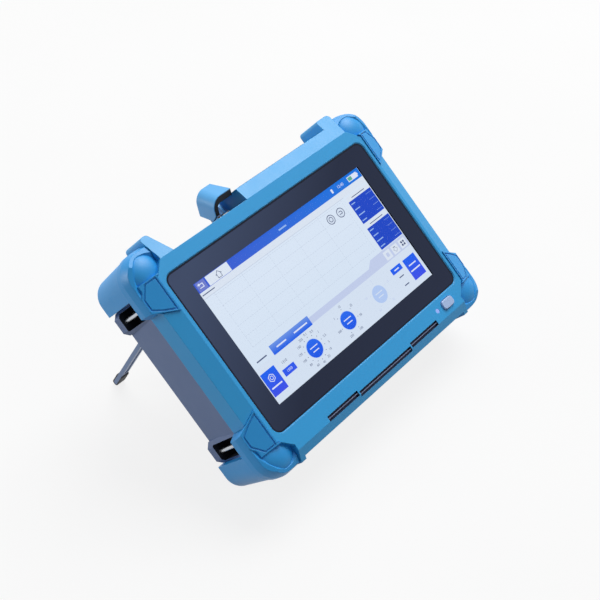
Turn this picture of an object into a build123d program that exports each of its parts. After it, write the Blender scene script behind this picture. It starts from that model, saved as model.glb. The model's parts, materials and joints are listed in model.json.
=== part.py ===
from build123d import *
import os
from math import acos, atan2, cos, degrees, hypot, radians, sin, tan

# Optical time domain reflectometer: a tablet-shaped field instrument with a touch screen, rubber corner
# bumpers, strap lugs, a hinged dust cover over its optical port and two folding legs at the back.
# Millimetres. It is modelled upright, X to the right, Y from the glass to the back and Z up, with the
# middle of the screen at the origin, and is then leaned back onto its open legs.

# ---- gaps and fits ------------------------------------------------------------------------------------
SEAM = 0.3
FIT_GAP = 0.02
SHAFT_GAP = 0.05
HINGE_GAP = 0.05

# ---- screen and glass ---------------------------------------------------------------------------------
SCREEN_WIDTH = 154.2
SCREEN_HEIGHT = 85.9
GLASS_SIDE_BORDER = 13.9
GLASS_END_BORDER = 13.65
GLASS_WIDTH = SCREEN_WIDTH + 2 * GLASS_SIDE_BORDER
GLASS_HEIGHT = SCREEN_HEIGHT + 2 * GLASS_END_BORDER
GLASS_RADIUS = 6.0
GLASS_THICKNESS = 1.1
GLASS_GAP = 0.3
GASKET_THICKNESS = 0.4
GASKET_WIDTH = 5.0
LEDGE_THICKNESS = 1.7
LCD_BORDER = 4.5
LCD_THICKNESS = 5.0
LCD_GAP = 0.2

# ---- front shell --------------------------------------------------------------------------------------
RIM_PROUD = 0.8
RIM_SIDE_BAND = 2.5
RIM_TOP_BAND = 9.4
RIM_BOTTOM_BAND = 13.7
RIM_SIDE = GLASS_WIDTH / 2 + RIM_SIDE_BAND
RIM_TOP = GLASS_HEIGHT / 2 + RIM_TOP_BAND
RIM_BOTTOM = GLASS_HEIGHT / 2 + RIM_BOTTOM_BAND
SIDE_FACET_RUN = 9.3
SIDE_FACET_DROP = 3.8
SIDE_DRAFT_RUN = 1.4
SIDE_MAX = RIM_SIDE + SIDE_FACET_RUN + SIDE_DRAFT_RUN
SIDE_SLOPE = SIDE_FACET_DROP / SIDE_FACET_RUN
END_FACET_SLOPE = 0.356
FOOT_FACET_SLOPE = 0.53
FOOT_FACET_HEIGHT = 5.5
SHELL_BOTTOM = RIM_BOTTOM + FOOT_FACET_HEIGHT
SHELL_DEPTH = 15.5
SHELL_WALL = 2.5
BROW_HEIGHT = 9.0
BROW_TOP = RIM_TOP + BROW_HEIGHT
BROW_END_INSET = 19.7
BROW_RIGHT = RIM_SIDE - BROW_END_INSET
CHEEK_WALL = 1.8
BLOCK_HEIGHT = 16.2
SHOULDER_TOP = RIM_TOP + BLOCK_HEIGHT
BLOCK_RADIUS = 2.5
SKIRT_REACH = 11.0
SKIRT_DEPTH = SHELL_DEPTH + SKIRT_REACH
RECESS_FOOT_INSET = 19.3
RECESS_HEAD_INSET = 13.1
RECESS_LEFT_FOOT = RECESS_FOOT_INSET - RIM_SIDE
RECESS_LEFT_HEAD = RECESS_HEAD_INSET - RIM_SIDE
FOOT_BLOCK_HEIGHT = 2.2
FOOT_BLOCK_WIDTH = 4.2
FOOT_BLOCK_BOTTOM = SHELL_BOTTOM + FOOT_BLOCK_HEIGHT
NOTCH_HEAD_INSET = 7.3
NOTCH_NECK_INSET = 8.6
NOTCH_FOOT_INSET = 0.7
NOTCH_NECK_RISE = 0.4
NOTCH_FOOT_FALL = 7.3
NOTCH_HEAD = (RIM_SIDE - NOTCH_HEAD_INSET, SHOULDER_TOP)
NOTCH_NECK = (RIM_SIDE - NOTCH_NECK_INSET, RIM_TOP + NOTCH_NECK_RISE)
NOTCH_FOOT = (RIM_SIDE - NOTCH_FOOT_INSET, RIM_TOP - NOTCH_FOOT_FALL)

# ---- corner bumpers -----------------------------------------------------------------------------------
BUMPER_RADIUS = 16.0
BUMPER_HEIGHT = 12.3
BUMPER_SIDE = RIM_SIDE + BUMPER_RADIUS
BUMPER_TOP = RIM_TOP + BUMPER_HEIGHT
BUMPER_AXIS_Z = BUMPER_TOP - BUMPER_RADIUS
RING_SINK = 1.0
EDGE_CREASE_INSET = 2.9
EDGE_CREASE_DEPTH = 1.0
EDGE_BEND_INSET = 1.1
EDGE_BEND_DEPTH = 4.2
EDGE_FALL_DEPTH = 10.0
EDGE_LEAD_RUN = 0.5
PAD_PROUD = 0.9
PAD_SEAT_DEPTH = 1.2
PAD_INSET = 0.5
PAD_TOP_RISE = 1.3
PAD_TOP_LENGTH = 8.6
PAD_HIGH_FALL = 6.7
PAD_LOW_FALL = 14.7
PAD_FOOT_FALL = 23.4
PAD_KNEE_FALL = 18.9
PAD_KNEE_RUN = 8.5
PAD_SIDE_INSET = 1.3
PAD_LIP = 0.9
PAD_GROOVE = 0.8
PAD_GROOVE_DEPTH = 0.7
SIDE_PLATE_FALL = 15.3
PAD_LEFT = RIM_SIDE + PAD_INSET
PAD_HEAD_Z = NOTCH_FOOT[1] + PAD_TOP_RISE
PAD_FOOT_Z = NOTCH_FOOT[1] - PAD_FOOT_FALL
PAD_KNEE = (PAD_LEFT + PAD_KNEE_RUN, NOTCH_FOOT[1] - PAD_KNEE_FALL)
SIDE_PLATE_END = NOTCH_FOOT[1] - SIDE_PLATE_FALL
PAD_FRAME = (
    (PAD_LEFT, PAD_HEAD_Z),
    (PAD_LEFT + PAD_TOP_LENGTH, PAD_HEAD_Z),
    (BUMPER_SIDE - PAD_SIDE_INSET, NOTCH_FOOT[1] - PAD_HIGH_FALL),
    (BUMPER_SIDE - PAD_SIDE_INSET, NOTCH_FOOT[1] - PAD_LOW_FALL),
    PAD_KNEE,
    (PAD_LEFT, PAD_FOOT_Z),
)
SCOOP_RADIUS = 17.0
SCOOP_RISE = 9.3
SCOOP_WALL = 1.0
SCOOP_SIDE = 0.5
SCOOP_LIFT = 0.7
SCOOP_TAIL_LENGTH = 19.0
SCOOP_TAIL_RADIUS = 9.0
SCOOP_TAIL_TURN = 34.0
SCOOP_TAIL_TILT = 16.0
SCOOP_X = RIM_SIDE + SCOOP_SIDE
SCOOP_Z = BUMPER_AXIS_Z + SCOOP_LIFT

# ---- rear housing -------------------------------------------------------------------------------------
HOUSING_FRONT = SHELL_DEPTH + SEAM
HOUSING_THICKNESS = 36.2
HOUSING_BACK = HOUSING_FRONT + HOUSING_THICKNESS
HOUSING_INSET = 1.0
HOUSING_SIDE = SIDE_MAX - HOUSING_INSET
BUMPER_COVER = 5.3
HOUSING_TOP = BUMPER_TOP - BUMPER_COVER
SKIRT_FLOOR = HOUSING_TOP + SEAM
HOUSING_RADIUS = 12.0
HOUSING_DRAFT = 3.8
HOUSING_WALL = 2.5
INNER_BACK = HOUSING_BACK - HOUSING_WALL
RECESS_SINK = 2.0
RECESS_CORNER_WIDTH = 4.8
RECESS_CORNER_DEPTH = 8.0
RECESS_FLOOR = RIM_TOP - RECESS_SINK
STAND_BAY_DEPTH = 5.2
STAND_BAY_FLOOR = HOUSING_BACK - STAND_BAY_DEPTH
INNER_BAY_FLOOR = STAND_BAY_FLOOR - HOUSING_WALL
STAND_BAY_SIDE_WALL = 12.2
STAND_BAY_TOP_WALL = 32.5
STAND_BAY_BOTTOM_WALL = 18.0
STAND_BAY_SIDE = HOUSING_SIDE - STAND_BAY_SIDE_WALL
STAND_BAY_TOP = HOUSING_TOP - STAND_BAY_TOP_WALL
STAND_BAY_BOTTOM = HOUSING_TOP - STAND_BAY_BOTTOM_WALL
GRIP_RISE = 1.4
GRIP_GAP = 0.5
GRIP_TOP = BROW_TOP + GRIP_RISE
GRIP_FRONT = SKIRT_DEPTH + GRIP_GAP
GRIP_DEPTH = 18.0
GRIP_BACK = GRIP_FRONT + GRIP_DEPTH
RIB_THICKNESS = 1.6
RIB_HEIGHT = 6.0
RIB_SPACING = 26.0
RIB_COUNT = 5

# ---- rear guards of the bumpers -----------------------------------------------------------------------
GUARD_BACK_PROUD = 1.5
BUMPER_BACK = HOUSING_BACK + GUARD_BACK_PROUD
GUARD_INSET = 1.4
GUARD_END_INSET = 0.4
GUARD_DRAFT = 3.0
GUARD_HEIGHT = 22.6
GUARD_LENGTH = 21.0
GUARD_END = BUMPER_TOP - GUARD_HEIGHT
GUARD_INNER = BUMPER_SIDE - GUARD_LENGTH
HEEL_RADIUS = 1.5

# ---- strap lugs ---------------------------------------------------------------------------------------
LUG_PROUD = 1.8
LUG_BITE = 7.4
LUG_HEIGHT = 15.6
LUG_CHAMFER = 3.2
LUG_SIDE = HOUSING_SIDE + LUG_PROUD
LUG_ROOT = HOUSING_SIDE - LUG_BITE
LUG_HIGH = GUARD_END - SEAM
LUG_LOW = LUG_HIGH - LUG_HEIGHT
POCKET_DEPTH = 10.0
POCKET_TOP_WALL = 1.4
POCKET_LOW_WALL = 2.4
POCKET_FRONT_WALL = 1.4
POCKET_BACK_WALL = 7.0
POCKET_WALL = 1.6
POCKET_FLOOR = LUG_SIDE - POCKET_DEPTH
POCKET_LOW = LUG_LOW + POCKET_LOW_WALL
POCKET_HIGH = LUG_HIGH - POCKET_TOP_WALL
POCKET_FRONT = HOUSING_FRONT + POCKET_FRONT_WALL
POCKET_BACK = HOUSING_BACK - POCKET_BACK_WALL
STRAP_PIN_DIAMETER = 2.8
STRAP_PIN_INSET = 3.0
STRAP_PIN_X = LUG_SIDE - STRAP_PIN_INSET
STRAP_PIN_Z = (POCKET_LOW + POCKET_HIGH) / 2
STRAP_PIN_BITE = 2.5

# ---- button and light ---------------------------------------------------------------------------------
BUTTON_INSET = 21.5
BUTTON_DROP = 6.7
BUTTON_X = RIM_SIDE - BUTTON_INSET
BUTTON_Z = -(GLASS_HEIGHT / 2 + BUTTON_DROP)
BUTTON_WIDTH = 10.5
BUTTON_HEIGHT = 6.2
BUTTON_RADIUS = 2.2
BUTTON_PROUD = 1.5
BUTTON_GAP = 0.3
BUTTON_LIP = 1.0
BUTTON_FLANGE = 1.0
BUTTON_TRAVEL = 0.8
BUTTON_STEM_DIAMETER = 3.0
LIGHT_SPACING = 10.6
LIGHT_X = BUTTON_X - LIGHT_SPACING
LIGHT_DIAMETER = 3.0
LIGHT_GAP = 0.1
LIGHT_SINK = 0.2

# ---- ribbed slots along the foot of the frame ---------------------------------------------------------
SLOT_WIDTH = 3.5
SLOT_DEPTH = 2.0
SLOT_RIB = 0.6
SLOT_RIB_SINK = 0.7
SIDE_SLOT_RISE = 1.6
MID_SLOT_RISE = 0.1
SIDE_SLOT_HEIGHT = RIM_BOTTOM - SIDE_SLOT_RISE
MID_SLOT_HEIGHT = RIM_BOTTOM - MID_SLOT_RISE
MID_SLOT_LENGTH = 52.3
SLOT_SPACING = 1.1
SLOT_TO_LIGHT = 5.65
SIDE_SLOT_INNER = MID_SLOT_LENGTH / 2 + SLOT_SPACING
SIDE_SLOT_OUTER = LIGHT_X - SLOT_TO_LIGHT
SIDE_SLOT_LENGTH = SIDE_SLOT_OUTER - SIDE_SLOT_INNER
SIDE_SLOT_CENTRE = (SIDE_SLOT_OUTER + SIDE_SLOT_INNER) / 2

# ---- dust cover, measured from its hinge when shut ----------------------------------------------------
PORT_X = -19.9
COVER_LEFT_SIDE = 9.1
COVER_RIGHT_SIDE = 7.6
COVER_LEFT = PORT_X - COVER_LEFT_SIDE
COVER_RIGHT = PORT_X + COVER_RIGHT_SIDE
COVER_WIDTH = COVER_RIGHT - COVER_LEFT
COVER_REACH = 20.0
COVER_DROP = 8.9
COVER_FRONT_DEPTH = 3.5
HINGE_SINK = 0.1
HINGE_DEPTH = COVER_REACH + COVER_FRONT_DEPTH
HINGE_HEIGHT = RIM_TOP - HINGE_SINK
COVER_RISE = BROW_TOP - HINGE_HEIGHT
HINGE_PIN_DIAMETER = 2.0
COVER_OPEN_ANGLE = 56.0
COVER_LEAN_IN = 2.5
COVER_ROOF_BACK = 4.5
COVER_HEEL = 8.5
COVER_WALL = 1.8
COVER_BEND = 7.5
COVER_SWEEP_GAP = 0.4
COVER_SWEEP = hypot(COVER_REACH, COVER_RISE) + COVER_SWEEP_GAP
SEAL_LIP = 0.5
SEAL_WIDTH = 4.0
SEAL_SIDE_WIDTH = 3.0
SEAL_THICKNESS = 1.5
EAR_WIDTH = 2.2
EAR_RADIUS = 2.3
EAR_INSET = 3.2
EAR_GAP = 0.3
EAR_STARTS = (COVER_LEFT + COVER_LEAN_IN + EAR_INSET, COVER_RIGHT - EAR_WIDTH)
COVER_TO_BROW = 1.2
BROW_LEFT = COVER_RIGHT + COVER_TO_BROW
GRIP_INSET = 21.1
GRIP_LEFT = BROW_LEFT + GRIP_INSET

# ---- port bay and optical port ------------------------------------------------------------------------
BAY_FRONT = 2.6
BAY_SINK = 2.5
BAY_FLOOR = RIM_TOP - BAY_SINK
BAY_WALL = 1.5
BAY_BEHIND_HINGE = 2.7
BAY_BACK = HINGE_DEPTH + BAY_BEHIND_HINGE
BAY_BACK_SINK = 0.5
BAY_BACK_TOP = BAY_FLOOR - BAY_BACK_SINK
WELL_GAP = 0.5
WELL_FLOOR = HINGE_HEIGHT - COVER_DROP - WELL_GAP
WELL_LEFT = COVER_LEFT - WELL_GAP
BAY_LEFT = RECESS_LEFT_FOOT + SEAM
BAY_RIGHT = BROW_LEFT - SEAM
KNUCKLE_RADIUS = 2.0
KNUCKLE_LEFT = EAR_STARTS[0] + EAR_WIDTH + EAR_GAP
KNUCKLE_WIDTH = EAR_STARTS[1] - EAR_GAP - KNUCKLE_LEFT
PORT_SETBACK = 11.6
PORT_DEPTH = BAY_FRONT + PORT_SETBACK
PORT_FLANGE = 10.4
PORT_FLANGE_THICKNESS = 1.6
PORT_BARREL_DIAMETER = 8.0
PORT_BARREL_HEIGHT = 9.0
PORT_COLLAR_DIAMETER = 10.0
PORT_COLLAR_HEIGHT = 3.0
PORT_BORE = 4.6
PORT_KEY_WIDTH = 2.2
PORT_THREAD_DEPTH = 0.35
PORT_THREAD_WIDTH = 0.6
PORT_THREAD_PITCH = 1.2
PORT_THREADS = 3
FERRULE_DIAMETER = 2.5
FERRULE_HEIGHT = 7.5
FERRULE_CHAMFER = 0.3

# ---- folding stand ------------------------------------------------------------------------------------
PIVOT_PROUD = 3.2
PIVOT_FALL = 4.0
STAND_PIVOT_DEPTH = STAND_BAY_FLOOR + PIVOT_PROUD
STAND_PIVOT_HEIGHT = STAND_BAY_TOP - PIVOT_FALL
STAND_LEG_INSET = 5.0
STAND_X = STAND_BAY_SIDE - STAND_LEG_INSET
STAND_OPEN_ANGLE = 11.4
LEG_WIDTH = 6.7
LEG_THICKNESS = 2.8
LEG_HEAD_RADIUS = 2.8
LEG_GROOVE_WIDTH = 3.1
LEG_GROOVE_DEPTH = 0.5
SHAFT_DIAMETER = 3.2
SHOE_LENGTH = 14.0
SHOE_RADIUS = 2.2
SHOE_CLEARANCE = 5.3
LEG_LENGTH = STAND_PIVOT_HEIGHT + STAND_BAY_BOTTOM - SHOE_RADIUS - SHOE_CLEARANCE
BRACKET_WIDTH = 8.0
BRACKET_RADIUS = 3.0
BRACKET_FOOT = 11.0
BRACKET_FOOT_THICKNESS = 1.6
BRACKET_INNER_X = 24.0
BRACKET_OUTER_INSET = 14.0
BRACKET_X = (BRACKET_INNER_X, STAND_X - BRACKET_OUTER_INSET)

# ---- battery and its door -----------------------------------------------------------------------------
BATTERY_WIDTH = 118.0
BATTERY_THICKNESS = 19.0
BATTERY_GAP = 0.8
BATTERY_RADIUS = 4.0
CELL_WALL = 1.8
DOOR_OVERLAP = 3.0
DOOR_THICKNESS = 2.2
DOOR_RADIUS = 5.0
DOOR_TO_BRACKET = 7.7
DOOR_TO_BAY_END = 2.2
DOOR_FRONT = STAND_BAY_FLOOR - DOOR_THICKNESS
DOOR_TOP = STAND_PIVOT_HEIGHT + BRACKET_RADIUS - BRACKET_FOOT - DOOR_TO_BRACKET
DOOR_BOTTOM = DOOR_TO_BAY_END - STAND_BAY_BOTTOM
DOOR_HEIGHT = DOOR_TOP - DOOR_BOTTOM
BATTERY_Z = (DOOR_TOP + DOOR_BOTTOM) / 2
CELL_HEIGHT = DOOR_HEIGHT - 2 * DOOR_OVERLAP
BATTERY_HEIGHT = CELL_HEIGHT - 2 * BATTERY_GAP
CELL_WIDTH = BATTERY_WIDTH + 2 * BATTERY_GAP
DOOR_WIDTH = CELL_WIDTH + 2 * DOOR_OVERLAP
CELL_TOP = BATTERY_Z + CELL_HEIGHT / 2 + CELL_WALL
BATTERY_BACK = DOOR_FRONT - SEAM

# ---- electronics --------------------------------------------------------------------------------------
BOARD_FRONT = 12.5
BOARD_THICKNESS = 1.6
BOARD_BACK = BOARD_FRONT + BOARD_THICKNESS
BOARD_SIDE_GAP = 6.4
BOARD_SIDE = POCKET_FLOOR - POCKET_WALL - BOARD_SIDE_GAP
BOARD_TOP_GAP = 3.0
BOARD_TOP = WELL_FLOOR - BAY_WALL - BOARD_TOP_GAP
BOARD_BOTTOM_GAP = 19.0
BOARD_BOTTOM = HOUSING_TOP - BOARD_BOTTOM_GAP
BOARD_TAB_MARGIN = 3.4
BOARD_TAB_REACH = 8.0
BOARD_TAB_FALL = 2.7
BOARD_TAB_LEFT = LIGHT_X - BOARD_TAB_MARGIN
BOARD_TAB_RIGHT = BUTTON_X + BOARD_TAB_REACH
BOARD_TAB_BOTTOM = BOARD_TAB_FALL - BUTTON_Z
BOARD_POST_INSET = 2.7
BOARD_POST_FALL = 8.0
BOARD_POST_DIAMETER = 4.2
BOARD_POST_X = BOARD_SIDE - BOARD_POST_INSET
BOARD_POST_Z = BOARD_TOP - BOARD_POST_FALL
BOARD_SCREW_DIAMETER = 2.0
BOARD_SCREW_HEAD = 4.0
BOARD_SCREW_HEAD_HEIGHT = 1.0
BOARD_SCREW_LENGTH = 6.0
CHIP_HEIGHT = 2.0
CHIP_SIZE = 10.0
SWITCH_HEIGHT = 1.5
SWITCH_SIZE = 6.0
MODULE_GAP = 3.0
MODULE_FRONT = BOARD_BACK + MODULE_GAP
MODULE_BOTTOM_GAP = 6.4
MODULE_HEIGHT = 24.0
MODULE_WIDTH = 60.0
MODULE_SIDE_GAP = 7.0
MODULE_THICKNESS = 20.0
MODULE_CHAMFER = 1.5
MODULE_LEFT = MODULE_SIDE_GAP - BOARD_SIDE
MODULE_RIGHT = MODULE_LEFT + MODULE_WIDTH
MODULE_BOTTOM = CELL_TOP + MODULE_BOTTOM_GAP
MODULE_TOP = MODULE_BOTTOM + MODULE_HEIGHT
SPOOL_INSET = 43.0
SPOOL_X = BOARD_SIDE - SPOOL_INSET
SPOOL_RADIUS = 20.0
SPOOL_HUB_RADIUS = 13.0
SPOOL_WIDTH = 9.0
SPOOL_FLANGE = 1.2
SPOOL_GAP = 0.4
SPOOL_Z = CELL_TOP + SPOOL_GAP + SPOOL_RADIUS
SPEAKER_X = 48.0
SPEAKER_INSET = 16.0
SPEAKER_Z = HOUSING_TOP - SPEAKER_INSET
SPEAKER_DIAMETER = 20.0
SPEAKER_MAGNET_DIAMETER = 14.0
SPEAKER_HEIGHT = 6.0
SPEAKER_SLOT_LENGTH = 12.0
SPEAKER_SLOT_WIDTH = 1.6
SPEAKER_SLOT_PITCH = 3.6
SPEAKER_SLOTS = 5

# ---- screws -------------------------------------------------------------------------------------------
SCREW_DIAMETER = 3.0
SCREW_CLEARANCE = 0.2
SCREW_HEAD = 5.4
SCREW_HEAD_HEIGHT = 2.0
SCREW_HEX = 2.4
SCREW_HEX_DEPTH = 1.1
SCREW_BITE = 8.0
SCREW_TIP_GAP = 1.0
COUNTERBORE = 6.2
COUNTERBORE_DEPTH = 2.4
BOSS_DIAMETER = 7.0
RAIL_SCREW_INSET = 4.6
RAIL_SCREW_FALL = 11.8
RAIL_SCREW_X = STAND_BAY_SIDE + RAIL_SCREW_INSET
RAIL_SCREW_Z = LUG_LOW - RAIL_SCREW_FALL
TOP_SCREW_FALL = 4.7
LOW_SCREW_INSET = 9.4
LOW_SCREW_RISE = 10.0
TOP_SCREW_X = RIM_SIDE - BUTTON_INSET
TOP_SCREW_Z = BAY_FLOOR - BAY_WALL - SEAM - TOP_SCREW_FALL
LOW_SCREW_X = LIGHT_X - LOW_SCREW_INSET
LOW_SCREW_Z = HOUSING_TOP - LOW_SCREW_RISE
SCREW_SPOTS = (
    (-RAIL_SCREW_X, RAIL_SCREW_Z),
    (RAIL_SCREW_X, RAIL_SCREW_Z),
    (-RAIL_SCREW_X, -RAIL_SCREW_Z),
    (RAIL_SCREW_X, -RAIL_SCREW_Z),
    (-TOP_SCREW_X, TOP_SCREW_Z),
    (TOP_SCREW_X, TOP_SCREW_Z),
    (-LOW_SCREW_X, -LOW_SCREW_Z),
    (LOW_SCREW_X, -LOW_SCREW_Z),
)

# ---- reference planes and derived sizes ---------------------------------------------------------------
FRONT = Plane.XZ
REAR = Plane(origin=(0, 0, 0), x_dir=(1, 0, 0), z_dir=(0, 1, 0))
FAR = 250.0
MARGIN = 1.0
SIDES = (-1, 1)

FACE_PROUD = RIM_PROUD + PAD_PROUD
RING_BACK = SHELL_DEPTH
LCD_FRONT = GLASS_THICKNESS + LCD_GAP
LEDGE_FRONT = GLASS_THICKNESS + GASKET_THICKNESS
LEDGE_BACK = LEDGE_FRONT + LEDGE_THICKNESS
LCD_WIDTH = SCREEN_WIDTH + 2 * LCD_BORDER
LCD_HEIGHT = SCREEN_HEIGHT + 2 * LCD_BORDER
CHEEK_RIGHT = BROW_LEFT + CHEEK_WALL
POCKET_SPAN = POCKET_HIGH - POCKET_LOW
STAND_BAY_Z = (STAND_BAY_TOP - STAND_BAY_BOTTOM) / 2
STAND_BAY_HEIGHT = STAND_BAY_TOP + STAND_BAY_BOTTOM
HOUSING_WIDTH = 2 * HOUSING_SIDE
HOUSING_HEIGHT = 2 * HOUSING_TOP
SWITCH_FRONT = BOARD_FRONT - SWITCH_HEIGHT
FLANGE_FRONT = LEDGE_BACK + SEAM


def side_facet(x, raised=0.0):
    """Depth of the front shell's side facet at x, raised towards the user."""
    return -RIM_PROUD + SIDE_SLOPE * (x - RIM_SIDE) - raised


def end_facet(z, raised=0.0):
    """Depth of the top facet at height z, raised towards the user."""
    return -RIM_PROUD + END_FACET_SLOPE * (z - RIM_TOP) - raised


def across(points):
    """The same run of points on both sides of the middle, from left to right."""
    return [(-x, y) for x, y in points] + [(x, y) for x, y in reversed(points)]


def shell_outline():
    """Front view of the shell: notched corners, brow, shoulders and the recess over the port bay."""
    upper_notch = [NOTCH_HEAD, NOTCH_NECK, NOTCH_FOOT, (SIDE_MAX, NOTCH_FOOT[1])]
    lean = (NOTCH_HEAD[0] - NOTCH_NECK[0]) / (NOTCH_HEAD[1] - NOTCH_NECK[1])
    foot_x = NOTCH_NECK[0] + lean * (FOOT_BLOCK_BOTTOM - NOTCH_NECK[1])
    lower_notch = [(foot_x, -FOOT_BLOCK_BOTTOM)] + [(x, -z) for x, z in upper_notch[1:]]
    block_inner = foot_x - FOOT_BLOCK_WIDTH
    return (
        [(-x, z) for x, z in reversed(upper_notch)]
        + [(RECESS_LEFT_HEAD, SHOULDER_TOP), (RECESS_LEFT_FOOT, RIM_TOP), (BROW_LEFT, RIM_TOP)]
        + [(BROW_LEFT, BROW_TOP), (BROW_RIGHT, BROW_TOP), (BROW_RIGHT, SHOULDER_TOP)]
        + upper_notch
        + list(reversed(lower_notch))
        + [(block_inner, -FOOT_BLOCK_BOTTOM), (block_inner, -SHELL_BOTTOM)]
        + [(-block_inner, -SHELL_BOTTOM), (-block_inner, -FOOT_BLOCK_BOTTOM)]
        + [(-x, z) for x, z in lower_notch]
    )


def shell_front_view(inset, depth):
    """Front view of the shell drawn in by inset, as a sketch at the given depth."""
    with BuildSketch(FRONT.offset(-depth)) as front_view:
        with BuildLine():
            Polyline(*shell_outline(), close=True)
        make_face()
        if inset:
            offset(amount=-inset, kind=Kind.INTERSECTION)
        else:
            fillet(front_view.vertices().group_by(Axis.Y)[-1], radius=BLOCK_RADIUS)
    return front_view.sketch


def shell_plan(inset, back):
    """Plan of the shell, which gives its side facets, drawn in by inset."""
    foot = RIM_SIDE + SIDE_FACET_RUN
    with BuildSketch(Plane.XY.offset(-FAR / 2)) as plan:
        with BuildLine():
            Polyline(
                *across(
                    [
                        (SIDE_MAX - inset, back),
                        (SIDE_MAX - inset, SHELL_DEPTH),
                        (foot - inset, side_facet(foot) + inset / 2),
                        (RIM_SIDE - inset / 2, inset - RIM_PROUD),
                    ]
                ),
                close=True,
            )
        make_face()
    return plan.sketch


def shell_side_view(inset, back, skirt_back):
    """Side view of the shell, which gives its top and foot facets, drawn in by inset."""
    foot_face = FOOT_FACET_SLOPE * (FOOT_BLOCK_BOTTOM - RIM_BOTTOM) - RIM_PROUD
    with BuildSketch(Plane.YZ.offset(-FAR / 2)) as side_view:
        with BuildLine():
            Polyline(
                (inset - RIM_PROUD, -RIM_BOTTOM + inset / 2),
                (inset - RIM_PROUD, RIM_TOP - inset / 2),
                (end_facet(SHOULDER_TOP) + inset, SHOULDER_TOP),
                (skirt_back, SHOULDER_TOP),
                (skirt_back, SKIRT_FLOOR),
                (back, SKIRT_FLOOR),
                (back, -FOOT_BLOCK_BOTTOM),
                (foot_face + inset, -FOOT_BLOCK_BOTTOM),
                close=True,
            )
        make_face()
    return side_view.sketch


def pad_frame(inset):
    """Front view of the raised frame round the top right bumper's pad, drawn in by inset."""
    with BuildSketch(FRONT.offset(FACE_PROUD + MARGIN)) as frame_view:
        with BuildLine():
            Polyline(*PAD_FRAME, close=True)
        make_face()
        if inset:
            offset(amount=-inset, kind=Kind.INTERSECTION)
    return frame_view.sketch


def edge_section(base, inward):
    """Section of a bumper's rounded outer edge, measured out from its corner's axis and back."""
    crease_x = BUMPER_RADIUS - EDGE_CREASE_INSET
    front = -FACE_PROUD - MARGIN
    with BuildSketch(base) as section:
        with BuildLine():
            Polyline(
                (crease_x, EDGE_CREASE_DEPTH),
                (crease_x - EDGE_LEAD_RUN, front),
                (-inward, front),
                (-inward, RING_BACK),
                (BUMPER_RADIUS, RING_BACK),
                (BUMPER_RADIUS, EDGE_FALL_DEPTH),
            )
            Bezier(
                (BUMPER_RADIUS, EDGE_FALL_DEPTH),
                (BUMPER_RADIUS - EDGE_BEND_INSET, EDGE_BEND_DEPTH),
                (crease_x, EDGE_CREASE_DEPTH),
            )
        make_face()
    return section.sketch


# ---- front shell --------------------------------------------------------------------------------------
with BuildPart() as shell_cavity:
    extrude(shell_front_view(SHELL_WALL, LEDGE_BACK), amount=-(SHELL_DEPTH + MARGIN - LEDGE_BACK))
    extrude(shell_plan(SHELL_WALL, SHELL_DEPTH + MARGIN), amount=FAR, mode=Mode.INTERSECT)
    extrude(shell_side_view(SHELL_WALL, SHELL_DEPTH + MARGIN, SKIRT_DEPTH), amount=FAR, mode=Mode.INTERSECT)

with BuildPart() as pad_seats:
    for side in SIDES:
        for end in SIDES:
            with BuildSketch(FRONT.offset(PAD_SEAT_DEPTH)):
                with BuildLine():
                    Polyline(
                        (side * (PAD_LEFT - SEAM), end * PAD_HEAD_Z),
                        (side * (PAD_LEFT - SEAM), end * (PAD_FOOT_Z - SEAM)),
                        (side * PAD_KNEE[0], end * (PAD_KNEE[1] - SEAM)),
                        (side * BUMPER_SIDE, end * (SIDE_PLATE_END - SEAM)),
                        (side * BUMPER_SIDE, end * PAD_HEAD_Z),
                        close=True,
                    )
                make_face()
            extrude(amount=-(PAD_SEAT_DEPTH + SHELL_DEPTH))
    with BuildSketch(Plane.XY.offset(-FAR / 2)):
        for side in SIDES:
            with BuildLine():
                Polyline(
                    (side * RIM_SIDE, -PAD_SEAT_DEPTH * 2),
                    (side * BUMPER_SIDE, -PAD_SEAT_DEPTH * 2),
                    (side * BUMPER_SIDE, side_facet(BUMPER_SIDE, -PAD_SEAT_DEPTH)),
                    (side * RIM_SIDE, side_facet(RIM_SIDE, -PAD_SEAT_DEPTH)),
                    close=True,
                )
            make_face()
    extrude(amount=FAR, mode=Mode.INTERSECT)

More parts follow.
